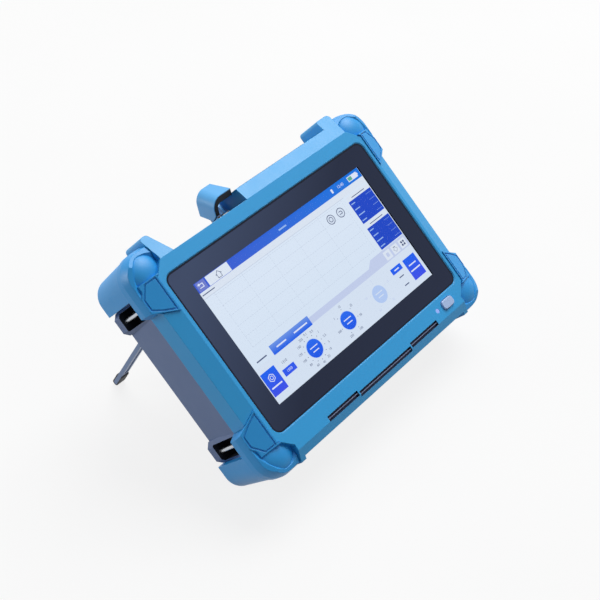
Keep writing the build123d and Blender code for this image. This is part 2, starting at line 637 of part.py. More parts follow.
with BuildPart() as front_bezel:
    extrude(shell_front_view(0, -RIM_PROUD), amount=-(RIM_PROUD + SKIRT_DEPTH))
    extrude(shell_plan(0, SKIRT_DEPTH), amount=FAR, mode=Mode.INTERSECT)
    extrude(shell_side_view(0, SHELL_DEPTH, SKIRT_DEPTH), amount=FAR, mode=Mode.INTERSECT)
    add(shell_cavity.part, mode=Mode.SUBTRACT)
    # posts for the housing screws and for the main board
    with BuildSketch(FRONT.offset(-LEDGE_BACK)):
        with Locations(*SCREW_SPOTS):
            Circle(BOSS_DIAMETER / 2)
    extrude(amount=-(SHELL_DEPTH - LEDGE_BACK))
    with BuildSketch(FRONT.offset(-LEDGE_BACK)):
        with GridLocations(2 * BOARD_POST_X, 2 * BOARD_POST_Z, 2, 2):
            Circle(BOARD_POST_DIAMETER / 2)
    extrude(amount=-(BOARD_FRONT - LEDGE_BACK))
    # glass pocket and the window for the display
    with BuildSketch(FRONT.offset(RIM_PROUD)):
        RectangleRounded(
            GLASS_WIDTH + 2 * GLASS_GAP, GLASS_HEIGHT + 2 * GLASS_GAP, GLASS_RADIUS + GLASS_GAP
        )
    extrude(amount=-(RIM_PROUD + LEDGE_FRONT), mode=Mode.SUBTRACT)
    with BuildSketch(FRONT):
        Rectangle(LCD_WIDTH + 2 * GLASS_GAP, LCD_HEIGHT + 2 * GLASS_GAP)
    extrude(amount=-(LEDGE_BACK + MARGIN), mode=Mode.SUBTRACT)
    # button and light holes, then the ribbed slots along the foot of the frame
    with BuildSketch(FRONT.offset(RIM_PROUD)):
        with Locations((BUTTON_X, BUTTON_Z)):
            RectangleRounded(
                BUTTON_WIDTH + 2 * BUTTON_GAP, BUTTON_HEIGHT + 2 * BUTTON_GAP, BUTTON_RADIUS + BUTTON_GAP
            )
        with Locations((LIGHT_X, BUTTON_Z)):
            Circle(LIGHT_DIAMETER / 2 + LIGHT_GAP)
    extrude(amount=-(RIM_PROUD + LEDGE_BACK + MARGIN), mode=Mode.SUBTRACT)
    with BuildSketch(FRONT.offset(RIM_PROUD)):
        with Locations((-SIDE_SLOT_CENTRE, -SIDE_SLOT_HEIGHT), (SIDE_SLOT_CENTRE, -SIDE_SLOT_HEIGHT)):
            Rectangle(SIDE_SLOT_LENGTH, SLOT_WIDTH)
        with Locations((0, -MID_SLOT_HEIGHT)):
            Rectangle(MID_SLOT_LENGTH, SLOT_WIDTH)
    extrude(amount=-SLOT_DEPTH, mode=Mode.SUBTRACT)
    with BuildSketch(FRONT.offset(RIM_PROUD - SLOT_DEPTH)):
        with Locations((-SIDE_SLOT_CENTRE, -SIDE_SLOT_HEIGHT), (SIDE_SLOT_CENTRE, -SIDE_SLOT_HEIGHT)):
            Rectangle(SIDE_SLOT_LENGTH, SLOT_RIB)
        with Locations((0, -MID_SLOT_HEIGHT)):
            Rectangle(MID_SLOT_LENGTH, SLOT_RIB)
    extrude(amount=SLOT_DEPTH - SLOT_RIB_SINK)
    # cheek that closes the left end of the brow
    with BuildSketch(FRONT.offset(-SHELL_DEPTH)):
        with Locations((BROW_LEFT, RIM_TOP)):
            Rectangle(CHEEK_WALL, BROW_HEIGHT, align=(Align.MIN, Align.MIN))
    extrude(amount=-SKIRT_REACH)
    # port bay opening, swept clear for the dust cover's lower edge
    with BuildSketch(FRONT.offset(-BAY_FRONT)):
        with BuildLine():
            Polyline(
                (BAY_LEFT - SEAM, RIM_TOP + MARGIN),
                (BAY_LEFT - SEAM, BAY_FLOOR - BAY_WALL - SEAM),
                (WELL_LEFT - BAY_WALL - SEAM, BAY_FLOOR - BAY_WALL - SEAM),
                (WELL_LEFT - BAY_WALL - SEAM, WELL_FLOOR - BAY_WALL - SEAM),
                (BROW_LEFT, WELL_FLOOR - BAY_WALL - SEAM),
                (BROW_LEFT, RIM_TOP + MARGIN),
                close=True,
            )
        make_face()
    extrude(amount=-FAR, mode=Mode.SUBTRACT)
    with BuildSketch(Plane.YZ.offset(WELL_LEFT)):
        with Locations((HINGE_DEPTH, HINGE_HEIGHT)):
            Circle(COVER_SWEEP)
        with Locations((HINGE_DEPTH, WELL_FLOOR)):
            Rectangle(2 * FAR, FAR, align=(Align.CENTER, Align.MIN), mode=Mode.INTERSECT)
    extrude(amount=BROW_LEFT - WELL_LEFT, mode=Mode.SUBTRACT)
    # seats for the bumper pads, screw holes and board screw holes
    add(pad_seats.part, mode=Mode.SUBTRACT)
    with BuildSketch(FRONT.offset(-SHELL_DEPTH)):
        with Locations(*SCREW_SPOTS):
            Circle(SCREW_DIAMETER / 2 + FIT_GAP)
    extrude(amount=SCREW_BITE, mode=Mode.SUBTRACT)
    with BuildSketch(FRONT.offset(-BOARD_FRONT)):
        with GridLocations(2 * BOARD_POST_X, 2 * BOARD_POST_Z, 2, 2):
            Circle(BOARD_SCREW_DIAMETER / 2 + FIT_GAP)
    extrude(amount=BOARD_SCREW_LENGTH + SCREW_TIP_GAP, mode=Mode.SUBTRACT)

# ---- display stack ------------------------------------------------------------------------------------
with BuildPart() as touch_glass:
    with BuildSketch(FRONT):
        RectangleRounded(GLASS_WIDTH, GLASS_HEIGHT, GLASS_RADIUS)
    extrude(amount=-GLASS_THICKNESS)

with BuildPart() as glass_gasket:
    with BuildSketch(FRONT.offset(-GLASS_THICKNESS)):
        RectangleRounded(GLASS_WIDTH, GLASS_HEIGHT, GLASS_RADIUS)
        Rectangle(GLASS_WIDTH - 2 * GASKET_WIDTH, GLASS_HEIGHT - 2 * GASKET_WIDTH, mode=Mode.SUBTRACT)
    extrude(amount=-GASKET_THICKNESS)

with BuildPart() as lcd_module:
    with BuildSketch(FRONT.offset(-LCD_FRONT)):
        Rectangle(LCD_WIDTH, LCD_HEIGHT)
    extrude(amount=-LCD_THICKNESS)
    with BuildSketch(FRONT.offset(-LCD_FRONT - LCD_THICKNESS)):
        Rectangle(SCREEN_WIDTH - 2 * LCD_BORDER, SCREEN_HEIGHT - 2 * LCD_BORDER)
    extrude(amount=SEAM, mode=Mode.SUBTRACT)

# ---- rear housing -------------------------------------------------------------------------------------
with BuildPart() as housing_seat:
    with BuildSketch(REAR.offset(HOUSING_FRONT - MARGIN)):
        RectangleRounded(HOUSING_WIDTH + 2 * SEAM, HOUSING_HEIGHT + 2 * SEAM, HOUSING_RADIUS + SEAM)
    extrude(amount=HOUSING_THICKNESS + MARGIN, taper=HOUSING_DRAFT)

with BuildPart() as housing_cavity:
    with BuildSketch(REAR.offset(HOUSING_FRONT)):
        RectangleRounded(
            HOUSING_WIDTH - 2 * HOUSING_WALL,
            HOUSING_HEIGHT - 2 * HOUSING_WALL,
            HOUSING_RADIUS - HOUSING_WALL,
        )
    extrude(amount=INNER_BACK - HOUSING_FRONT, taper=HOUSING_DRAFT)
    # the wall under the port bay recess, the raised floor of the stand bay and the strap pockets stay solid
    with BuildSketch(FRONT.offset(-HOUSING_FRONT)):
        with Locations((CHEEK_RIGHT + SEAM + HOUSING_WALL, RECESS_FLOOR - HOUSING_WALL)):
            Rectangle(
                CHEEK_RIGHT + SEAM - RECESS_LEFT_FOOT + 2 * HOUSING_WALL,
                HOUSING_TOP - RECESS_FLOOR + HOUSING_WALL,
                align=(Align.MAX, Align.MIN),
            )
    extrude(amount=-FAR, mode=Mode.SUBTRACT)
    with BuildSketch(FRONT.offset(-INNER_BAY_FLOOR)):
        with Locations((0, STAND_BAY_Z)):
            Rectangle(2 * (STAND_BAY_SIDE + HOUSING_WALL), STAND_BAY_HEIGHT + 2 * HOUSING_WALL)
    extrude(amount=-FAR, mode=Mode.SUBTRACT)
    with BuildSketch(FRONT.offset(-HOUSING_FRONT)):
        for side in SIDES:
            for end in SIDES:
                with Locations((side * (POCKET_FLOOR + FAR / 2 - POCKET_WALL), end * STRAP_PIN_Z)):
                    Rectangle(FAR, POCKET_SPAN + 2 * POCKET_WALL)
    extrude(amount=-(POCKET_BACK + POCKET_WALL - HOUSING_FRONT), mode=Mode.SUBTRACT)

with BuildPart() as rear_housing:
    with BuildSketch(REAR.offset(HOUSING_FRONT)):
        RectangleRounded(HOUSING_WIDTH, HOUSING_HEIGHT, HOUSING_RADIUS)
    extrude(amount=HOUSING_THICKNESS, taper=HOUSING_DRAFT)
    # gripping strip behind the brow
    with BuildSketch(Plane.YZ.offset(GRIP_LEFT)):
        with BuildLine():
            Polyline(
                (GRIP_FRONT, RECESS_FLOOR),
                (GRIP_FRONT, GRIP_TOP),
                (GRIP_FRONT + GRIP_DEPTH / 2, GRIP_TOP),
                (GRIP_BACK, HOUSING_TOP - (GRIP_BACK - HOUSING_FRONT) * tan(radians(HOUSING_DRAFT))),
                (GRIP_BACK, RECESS_FLOOR),
                close=True,
            )
        make_face()
    extrude(amount=BROW_RIGHT - SEAM - GRIP_LEFT)
    # strap lugs
    with BuildSketch(FRONT.offset(-HOUSING_FRONT)):
        for side in SIDES:
            for end in SIDES:
                with BuildLine():
                    Polyline(
                        (side * LUG_ROOT, end * LUG_LOW),
                        (side * (LUG_SIDE - LUG_CHAMFER), end * LUG_LOW),
                        (side * LUG_SIDE, end * (LUG_LOW + LUG_CHAMFER)),
                        (side * LUG_SIDE, end * (LUG_HIGH - LUG_CHAMFER)),
                        (side * (LUG_SIDE - LUG_CHAMFER), end * LUG_HIGH),
                        (side * LUG_ROOT, end * LUG_HIGH),
                        close=True,
                    )
                make_face()
    extrude(amount=-HOUSING_THICKNESS)
    add(housing_cavity.part, mode=Mode.SUBTRACT)
    # screw bosses, battery compartment walls and stiffening ribs
    with BuildSketch(FRONT.offset(-HOUSING_FRONT)):
        with Locations(*SCREW_SPOTS):
            Circle(BOSS_DIAMETER / 2)
    extrude(amount=-HOUSING_THICKNESS)
    with BuildSketch(FRONT.offset(-(BATTERY_BACK - BATTERY_THICKNESS))):
        with Locations((0, BATTERY_Z)):
            Rectangle(CELL_WIDTH + 2 * CELL_WALL, CELL_HEIGHT + 2 * CELL_WALL)
            Rectangle(CELL_WIDTH, CELL_HEIGHT, mode=Mode.SUBTRACT)
    extrude(amount=-(DOOR_FRONT - BATTERY_BACK + BATTERY_THICKNESS))
    with BuildSketch(FRONT.offset(-(INNER_BACK - RIB_HEIGHT))):
        with Locations((0, -(STAND_BAY_BOTTOM + HOUSING_TOP) / 2)):
            with GridLocations(RIB_SPACING, 1, RIB_COUNT, 1):
                Rectangle(RIB_THICKNESS, HOUSING_TOP - STAND_BAY_BOTTOM - 2 * HOUSING_WALL)
    extrude(amount=-RIB_HEIGHT)
    # recess above the port bay, room for the brow's cheek, the bay's opening and the stand bay on the back
    with BuildSketch(FRONT.offset(-HOUSING_FRONT)):
        with Locations((BROW_LEFT, RECESS_FLOOR)):
            Rectangle(BROW_LEFT - RECESS_LEFT_FOOT, FAR, align=(Align.MAX, Align.MIN))
    extrude(amount=-FAR, mode=Mode.SUBTRACT)
    with BuildSketch(Plane.XY.offset(RECESS_FLOOR)):
        with BuildLine():
            Polyline(
                (BROW_LEFT, HOUSING_BACK - RECESS_CORNER_DEPTH),
                (BROW_LEFT + RECESS_CORNER_WIDTH, HOUSING_BACK),
                (BROW_LEFT + RECESS_CORNER_WIDTH, HOUSING_BACK + MARGIN),
                (BROW_LEFT - MARGIN, HOUSING_BACK + MARGIN),
                (BROW_LEFT - MARGIN, HOUSING_BACK - RECESS_CORNER_DEPTH),
                close=True,
            )
        make_face()
    extrude(amount=FAR, mode=Mode.SUBTRACT)
    with BuildSketch(FRONT.offset(-HOUSING_FRONT)):
        with Locations((CHEEK_RIGHT + SEAM, RIM_TOP - SEAM)):
            Rectangle(FAR, FAR, align=(Align.MAX, Align.MIN))
    extrude(amount=-(SKIRT_DEPTH + SEAM - HOUSING_FRONT), mode=Mode.SUBTRACT)
    with BuildSketch(FRONT.offset(-HOUSING_FRONT)):
        with BuildLine():
            Polyline(
                (BAY_LEFT - SEAM, FAR / 2),
                (BAY_LEFT - SEAM, BAY_FLOOR - BAY_WALL - SEAM),
                (WELL_LEFT - BAY_WALL - SEAM, BAY_FLOOR - BAY_WALL - SEAM),
                (WELL_LEFT - BAY_WALL - SEAM, WELL_FLOOR - BAY_WALL - SEAM),
                (BROW_LEFT, WELL_FLOOR - BAY_WALL - SEAM),
                (BROW_LEFT, FAR / 2),
                close=True,
            )
        make_face()
    extrude(amount=-(BAY_BACK + SEAM - HOUSING_FRONT), mode=Mode.SUBTRACT)
    with BuildSketch(FRONT.offset(-STAND_BAY_FLOOR)):
        with Locations((0, STAND_BAY_Z)):
            Rectangle(2 * STAND_BAY_SIDE, STAND_BAY_HEIGHT)
    extrude(amount=-FAR, mode=Mode.SUBTRACT)
    # battery opening with the step that the door lies in
    with BuildSketch(FRONT.offset(-DOOR_FRONT)):
        with Locations((0, BATTERY_Z)):
            RectangleRounded(DOOR_WIDTH + 2 * SEAM, DOOR_HEIGHT + 2 * SEAM, DOOR_RADIUS + SEAM)
    extrude(amount=-FAR, mode=Mode.SUBTRACT)
    with BuildSketch(FRONT.offset(MARGIN - INNER_BAY_FLOOR)):
        with Locations((0, BATTERY_Z)):
            Rectangle(CELL_WIDTH, CELL_HEIGHT)
    extrude(amount=-FAR, mode=Mode.SUBTRACT)
    # strap pockets and their pin holes
    with BuildSketch(FRONT.offset(-POCKET_FRONT)):
        for side in SIDES:
            for end in SIDES:
                with Locations((side * (POCKET_FLOOR + FAR / 2), end * STRAP_PIN_Z)):
                    Rectangle(FAR, POCKET_SPAN)
    extrude(amount=-(POCKET_BACK - POCKET_FRONT), mode=Mode.SUBTRACT)
    with BuildSketch(FRONT.offset(-HOUSING_FRONT)):
        with GridLocations(2 * STRAP_PIN_X, 2 * STRAP_PIN_Z, 2, 2):
            Circle(STRAP_PIN_DIAMETER / 2 + FIT_GAP)
    extrude(amount=-(POCKET_BACK + STRAP_PIN_BITE - HOUSING_FRONT), mode=Mode.SUBTRACT)
    # screw holes with counterbores, and the speaker slots
    with BuildSketch(FRONT.offset(-HOUSING_FRONT)):
        with Locations(*SCREW_SPOTS):
            Circle(SCREW_DIAMETER / 2 + SCREW_CLEARANCE)
    extrude(amount=-FAR, mode=Mode.SUBTRACT)
    with BuildSketch(FRONT.offset(-(HOUSING_BACK - COUNTERBORE_DEPTH))):
        with Locations(*SCREW_SPOTS):
            Circle(COUNTERBORE / 2)
    extrude(amount=-FAR, mode=Mode.SUBTRACT)
    with BuildSketch(FRONT.offset(MARGIN - INNER_BACK)):
        with Locations((SPEAKER_X, SPEAKER_Z)):
            with GridLocations(SPEAKER_SLOT_PITCH, 1, SPEAKER_SLOTS, 1):
                SlotOverall(SPEAKER_SLOT_LENGTH, SPEAKER_SLOT_WIDTH, rotation=90)
    extrude(amount=-FAR, mode=Mode.SUBTRACT)

# ---- corner bumpers -----------------------------------------------------------------------------------
with BuildPart() as rear_guard:
    with BuildSketch(REAR.offset(RING_BACK)):
        RectangleRounded(
            2 * (BUMPER_SIDE - GUARD_INSET), 2 * (BUMPER_TOP - GUARD_END_INSET), BUMPER_RADIUS - GUARD_INSET
        )
    extrude(amount=BUMPER_BACK - RING_BACK, taper=GUARD_DRAFT)
    fillet(rear_guard.faces().sort_by(Axis.Y)[-1].edges(), radius=HEEL_RADIUS)
    with BuildSketch(FRONT.offset(-RING_BACK)):
        with Locations((GUARD_INNER, GUARD_END)):
            Rectangle(FAR, FAR, align=(Align.MIN, Align.MIN))
    extrude(amount=-FAR, mode=Mode.INTERSECT)
    add(housing_seat.part, mode=Mode.SUBTRACT)

with BuildPart() as scoop:
    tail = Plane(
        origin=(SCOOP_X, -SCOOP_RISE, SCOOP_Z),
        x_dir=(cos(radians(SCOOP_TAIL_TURN)), sin(radians(SCOOP_TAIL_TILT)), -sin(radians(SCOOP_TAIL_TURN))),
        z_dir=(sin(radians(SCOOP_TAIL_TURN)), 0, cos(radians(SCOOP_TAIL_TURN))),
    )
    with BuildSketch(tail):
        with BuildLine():
            RadiusArc((-SCOOP_RADIUS, 0), (0, SCOOP_RADIUS), SCOOP_RADIUS)
            Line((0, SCOOP_RADIUS), (SCOOP_TAIL_LENGTH, SCOOP_TAIL_RADIUS))
            RadiusArc(
                (SCOOP_TAIL_LENGTH, SCOOP_TAIL_RADIUS),
                (SCOOP_TAIL_LENGTH + SCOOP_TAIL_RADIUS, 0),
                SCOOP_TAIL_RADIUS,
            )
            Line((SCOOP_TAIL_LENGTH + SCOOP_TAIL_RADIUS, 0), (-SCOOP_RADIUS, 0))
        make_face()
    revolve(axis=Axis(tail.origin, tail.x_dir))
    extrude(pad_frame(0), amount=-FAR, mode=Mode.SUBTRACT)
    with BuildSketch(FRONT.offset(FACE_PROUD + MARGIN)):
        with Locations((SIDE_MAX + SEAM + SCOOP_WALL, NOTCH_FOOT[1] + SEAM + SCOOP_WALL)):
            Rectangle(FAR, FAR, align=(Align.MAX, Align.MAX))
    extrude(amount=-FAR, mode=Mode.SUBTRACT)

with BuildPart() as pad_groove:
    extrude(pad_frame(PAD_LIP), amount=-SHELL_DEPTH)
    extrude(pad_frame(PAD_LIP + PAD_GROOVE), amount=-SHELL_DEPTH, mode=Mode.SUBTRACT)
    with BuildSketch(Plane.XY):
        with BuildLine():
            Polyline(
                (RIM_SIDE, side_facet(RIM_SIDE, PAD_PROUD + MARGIN)),
                (BUMPER_SIDE, side_facet(BUMPER_SIDE, PAD_PROUD + MARGIN)),
                (BUMPER_SIDE, side_facet(BUMPER_SIDE, PAD_PROUD - PAD_GROOVE_DEPTH)),
                (RIM_SIDE, side_facet(RIM_SIDE, PAD_PROUD - PAD_GROOVE_DEPTH)),
                close=True,
            )
        make_face()
    extrude(amount=BUMPER_TOP, mode=Mode.INTERSECT)

with BuildPart() as rounded_edge:
    low_section = Plane(origin=(RIM_SIDE, 0, 0), x_dir=(1, 0, 0), z_dir=(0, 0, 1))
    end_section = Plane(origin=(RIM_SIDE, 0, BUMPER_AXIS_Z), x_dir=(0, 0, 1), z_dir=(-1, 0, 0))
    corner_section = Plane(origin=(RIM_SIDE, 0, BUMPER_AXIS_Z), x_dir=(1, 0, 0), z_dir=(0, 0, 1))
    corner_axis = Axis(corner_section.origin, (0, -1, 0))
    extrude(edge_section(low_section, 0), amount=BUMPER_AXIS_Z)
    extrude(edge_section(end_section, BUMPER_AXIS_Z), amount=RIM_SIDE)
    revolve(edge_section(corner_section, 0), axis=corner_axis, revolution_arc=90)

with BuildPart() as corner_bumper_top_right:
    with BuildSketch(FRONT.offset(FACE_PROUD)):
        with BuildLine():
            Polyline(
                (RIM_SIDE, BUMPER_TOP),
                (NOTCH_HEAD[0] + SEAM, BUMPER_TOP),
                (NOTCH_NECK[0] + SEAM, NOTCH_NECK[1] + SEAM),
                (NOTCH_FOOT[0] + SEAM, NOTCH_FOOT[1] + SEAM),
                (PAD_LEFT, NOTCH_FOOT[1] + SEAM),
                (PAD_LEFT, PAD_FOOT_Z),
                PAD_KNEE,
                (BUMPER_SIDE, SIDE_PLATE_END),
                (BUMPER_SIDE, BUMPER_AXIS_Z),
            )
            RadiusArc((BUMPER_SIDE, BUMPER_AXIS_Z), (RIM_SIDE, BUMPER_TOP), -BUMPER_RADIUS)
        make_face()
    extrude(amount=-(FACE_PROUD + RING_BACK))
    # side facet, then the top facet, which lies a little below the shell's
    with BuildSketch(Plane.XY.offset(-FAR / 2)):
        with BuildLine():
            Polyline(
                (0, -FACE_PROUD),
                (RIM_SIDE, -FACE_PROUD),
                (BUMPER_SIDE, side_facet(BUMPER_SIDE, PAD_PROUD)),
                (BUMPER_SIDE, RING_BACK),
                (0, RING_BACK),
                close=True,
            )
        make_face()
    extrude(amount=FAR, mode=Mode.INTERSECT)
    with BuildSketch(Plane.YZ.offset(-FAR / 2)):
        with BuildLine():
            Polyline(
                (-FACE_PROUD, 0),
                (-FACE_PROUD, PAD_HEAD_Z),
                (end_facet(RIM_TOP, -RING_SINK), RIM_TOP),
                (end_facet(BUMPER_TOP, -RING_SINK), BUMPER_TOP),
                (RING_BACK, BUMPER_TOP),
                (RING_BACK, 0),
                close=True,
            )
        make_face()
    extrude(amount=FAR, mode=Mode.INTERSECT)
    add(rounded_edge.part, mode=Mode.INTERSECT)
    # the pad's underside, which follows its seat in the shell
    under = PAD_SEAT_DEPTH - SEAM
    under_left = PAD_LEFT - MARGIN
    under_right = SIDE_MAX + SEAM
    with BuildSketch(Plane.XY):
        with BuildLine():
            Polyline(
                (under_left, side_facet(under_left, -under)),
                (under_right, side_facet(under_right, -under)),
                (under_right, FAR),
                (under_left, FAR),
                close=True,
            )
        make_face()
    extrude(amount=NOTCH_FOOT[1] + SEAM, mode=Mode.SUBTRACT)
    add(rear_guard.part)
    add(scoop.part, mode=Mode.SUBTRACT)
    add(pad_groove.part, mode=Mode.SUBTRACT)

with BuildPart() as corner_bumper_top_left:
    mirror(corner_bumper_top_right.part, about=Plane.YZ)

with BuildPart() as corner_bumper_bottom_right:
    mirror(corner_bumper_top_right.part, about=Plane.XY)

with BuildPart() as corner_bumper_bottom_left:
    mirror(corner_bumper_top_left.part, about=Plane.XY)

# ---- strap pins ---------------------------------------------------------------------------------------
with BuildPart() as strap_pins:
    with BuildSketch(FRONT.offset(-HOUSING_FRONT)):
        with GridLocations(2 * STRAP_PIN_X, 2 * STRAP_PIN_Z, 2, 2):
            Circle(STRAP_PIN_DIAMETER / 2)
    extrude(amount=-(POCKET_BACK + STRAP_PIN_BITE - HOUSING_FRONT))

# ---- power button and light ---------------------------------------------------------------------------
with BuildPart() as power_button:
    with BuildSketch(FRONT.offset(RIM_PROUD + BUTTON_PROUD)):
        with Locations((BUTTON_X, BUTTON_Z)):
            RectangleRounded(BUTTON_WIDTH, BUTTON_HEIGHT, BUTTON_RADIUS)
    extrude(amount=-(RIM_PROUD + BUTTON_PROUD + FLANGE_FRONT))
    fillet(power_button.faces().sort_by(Axis.Y)[0].edges(), radius=BUTTON_LIP / 2)
    with BuildSketch(FRONT.offset(-FLANGE_FRONT)):
        with Locations((BUTTON_X, BUTTON_Z)):
            RectangleRounded(
                BUTTON_WIDTH + 2 * (BUTTON_GAP + BUTTON_LIP),
                BUTTON_HEIGHT + 2 * (BUTTON_GAP + BUTTON_LIP),
                BUTTON_RADIUS + BUTTON_LIP,
            )
    extrude(amount=-BUTTON_FLANGE)
    with BuildSketch(FRONT.offset(-FLANGE_FRONT)):
        with Locations((BUTTON_X, BUTTON_Z)):
            Circle(BUTTON_STEM_DIAMETER / 2)
    extrude(amount=-(SWITCH_FRONT - SEAM - BUTTON_TRAVEL - FLANGE_FRONT))

with BuildPart() as led_light_pipe:
    with BuildSketch(FRONT.offset(RIM_PROUD - LIGHT_SINK)):
        with Locations((LIGHT_X, BUTTON_Z)):
            Circle(LIGHT_DIAMETER / 2)
    extrude(amount=-(RIM_PROUD - LIGHT_SINK + BOARD_FRONT - CHIP_HEIGHT))

# ---- electronics --------------------------------------------------------------------------------------
with BuildPart() as main_board:
    with BuildSketch(FRONT.offset(-BOARD_FRONT)):
        with Locations((0, (BOARD_TOP - BOARD_BOTTOM) / 2)):
            Rectangle(2 * BOARD_SIDE, BOARD_TOP + BOARD_BOTTOM)
        with Locations((BOARD_TAB_LEFT, -BOARD_BOTTOM)):
            Rectangle(
                BOARD_TAB_RIGHT - BOARD_TAB_LEFT,
                BOARD_TAB_BOTTOM - BOARD_BOTTOM,
                align=(Align.MIN, Align.MAX),
            )
        with GridLocations(2 * BOARD_POST_X, 2 * BOARD_POST_Z, 2, 2):
            Circle(BOARD_SCREW_DIAMETER / 2 + SCREW_CLEARANCE, mode=Mode.SUBTRACT)
        with Locations((-LOW_SCREW_X, -LOW_SCREW_Z), (LOW_SCREW_X, -LOW_SCREW_Z)):
            Circle(BOSS_DIAMETER / 2 + SEAM, mode=Mode.SUBTRACT)
    extrude(amount=-BOARD_THICKNESS)
    with BuildSketch(FRONT.offset(-BOARD_FRONT)):
        with Locations((LIGHT_X, BUTTON_Z)):
            Rectangle(SWITCH_SIZE / 2, SWITCH_SIZE / 2)
    extrude(amount=CHIP_HEIGHT)
    with BuildSketch(FRONT.offset(-BOARD_FRONT)):
        with Locations((BUTTON_X, BUTTON_Z)):
            Rectangle(SWITCH_SIZE, SWITCH_SIZE)
    extrude(amount=SWITCH_HEIGHT)
    with BuildSketch(FRONT.offset(-BOARD_BACK)):
        with Locations((SPOOL_X, SPOOL_Z)):
            Rectangle(CHIP_SIZE, CHIP_SIZE)
    extrude(amount=-CHIP_HEIGHT)

with BuildPart() as board_screws:
    with BuildSketch(FRONT.offset(-BOARD_BACK)):
        with GridLocations(2 * BOARD_POST_X, 2 * BOARD_POST_Z, 2, 2):
            Circle(BOARD_SCREW_DIAMETER / 2)
    extrude(amount=BOARD_THICKNESS + BOARD_SCREW_LENGTH)
    with BuildSketch(FRONT.offset(-BOARD_BACK)):
        with GridLocations(2 * BOARD_POST_X, 2 * BOARD_POST_Z, 2, 2):
            Circle(BOARD_SCREW_HEAD / 2)
    extrude(amount=-BOARD_SCREW_HEAD_HEIGHT)

with BuildPart() as optical_module:
    with BuildSketch(FRONT.offset(-MODULE_FRONT)):
        with Locations((MODULE_LEFT, MODULE_BOTTOM)):
            Rectangle(MODULE_WIDTH, MODULE_HEIGHT, align=(Align.MIN, Align.MIN))
    extrude(amount=-MODULE_THICKNESS)
    chamfer(optical_module.edges().filter_by(Axis.Y), length=MODULE_CHAMFER)
    # feet that carry the module on the main board
    with BuildSketch(FRONT.offset(-BOARD_BACK)):
        with Locations(((MODULE_LEFT + MODULE_RIGHT) / 2, (MODULE_BOTTOM + MODULE_TOP) / 2)):
            with GridLocations(MODULE_WIDTH - 3 * MODULE_GAP, MODULE_HEIGHT - 3 * MODULE_GAP, 2, 2):
                Circle(MODULE_GAP / 2)
    extrude(amount=-MODULE_GAP)

with BuildPart() as fibre_spool:
    with BuildSketch(FRONT.offset(-MODULE_FRONT)):
        with Locations((SPOOL_X, SPOOL_Z)):
            Circle(SPOOL_RADIUS)
            Circle(SPOOL_HUB_RADIUS - SPOOL_FLANGE, mode=Mode.SUBTRACT)
    extrude(amount=-SPOOL_WIDTH)
    with BuildSketch(FRONT.offset(-MODULE_FRONT - SPOOL_FLANGE)):
        with Locations((SPOOL_X, SPOOL_Z)):
            Circle(SPOOL_RADIUS)
            Circle(SPOOL_HUB_RADIUS, mode=Mode.SUBTRACT)
    extrude(amount=-(SPOOL_WIDTH - 2 * SPOOL_FLANGE), mode=Mode.SUBTRACT)
    with BuildSketch(FRONT.offset(-BOARD_BACK)):
        with Locations((SPOOL_X, SPOOL_Z)):
            with PolarLocations(SPOOL_HUB_RADIUS, 4, start_angle=45):
                Circle(SPOOL_FLANGE)
    extrude(amount=-(MODULE_GAP + SPOOL_FLANGE))

with BuildPart() as speaker:
    with BuildSketch(FRONT.offset(-(INNER_BACK - SPEAKER_HEIGHT))):
        with Locations((SPEAKER_X, SPEAKER_Z)):
            Circle(SPEAKER_MAGNET_DIAMETER / 2)
    extrude(amount=-SPEAKER_HEIGHT / 2)
    with BuildSketch(FRONT.offset(-(INNER_BACK - SPEAKER_HEIGHT / 2))):
        with Locations((SPEAKER_X, SPEAKER_Z)):
            Circle(SPEAKER_DIAMETER / 2)
    extrude(amount=-SPEAKER_HEIGHT / 2)

with BuildPart() as battery_pack:
    with BuildSketch(FRONT.offset(-(BATTERY_BACK - BATTERY_THICKNESS))):
        with Locations((0, BATTERY_Z)):
            RectangleRounded(BATTERY_WIDTH, BATTERY_HEIGHT, BATTERY_RADIUS)
    extrude(amount=-BATTERY_THICKNESS)
    fillet(battery_pack.faces().sort_by(Axis.Y)[-1].edges(), radius=BATTERY_RADIUS / 4)

with BuildPart() as battery_door:
    with BuildSketch(FRONT.offset(-DOOR_FRONT)):
        with Locations((0, BATTERY_Z)):
            RectangleRounded(DOOR_WIDTH, DOOR_HEIGHT, DOOR_RADIUS)
    extrude(amount=-DOOR_THICKNESS)

# ---- screws -------------------------------------------------------------------------------------------
with BuildPart() as housing_screws:
    with BuildSketch(FRONT.offset(-(HOUSING_BACK - COUNTERBORE_DEPTH))):
        with Locations(*SCREW_SPOTS):
            Circle(SCREW_DIAMETER / 2)
    extrude(amount=HOUSING_BACK - COUNTERBORE_DEPTH - SHELL_DEPTH + SCREW_BITE - SCREW_TIP_GAP)
    with BuildSketch(FRONT.offset(-(HOUSING_BACK - COUNTERBORE_DEPTH))):
        with Locations(*SCREW_SPOTS):
            Circle(SCREW_HEAD / 2)
    extrude(amount=-SCREW_HEAD_HEIGHT)
    with BuildSketch(FRONT.offset(-(HOUSING_BACK - COUNTERBORE_DEPTH + SCREW_HEAD_HEIGHT))):
        with Locations(*SCREW_SPOTS):
            RegularPolygon(SCREW_HEX / 2, 6)
    extrude(amount=SCREW_HEX_DEPTH, mode=Mode.SUBTRACT)

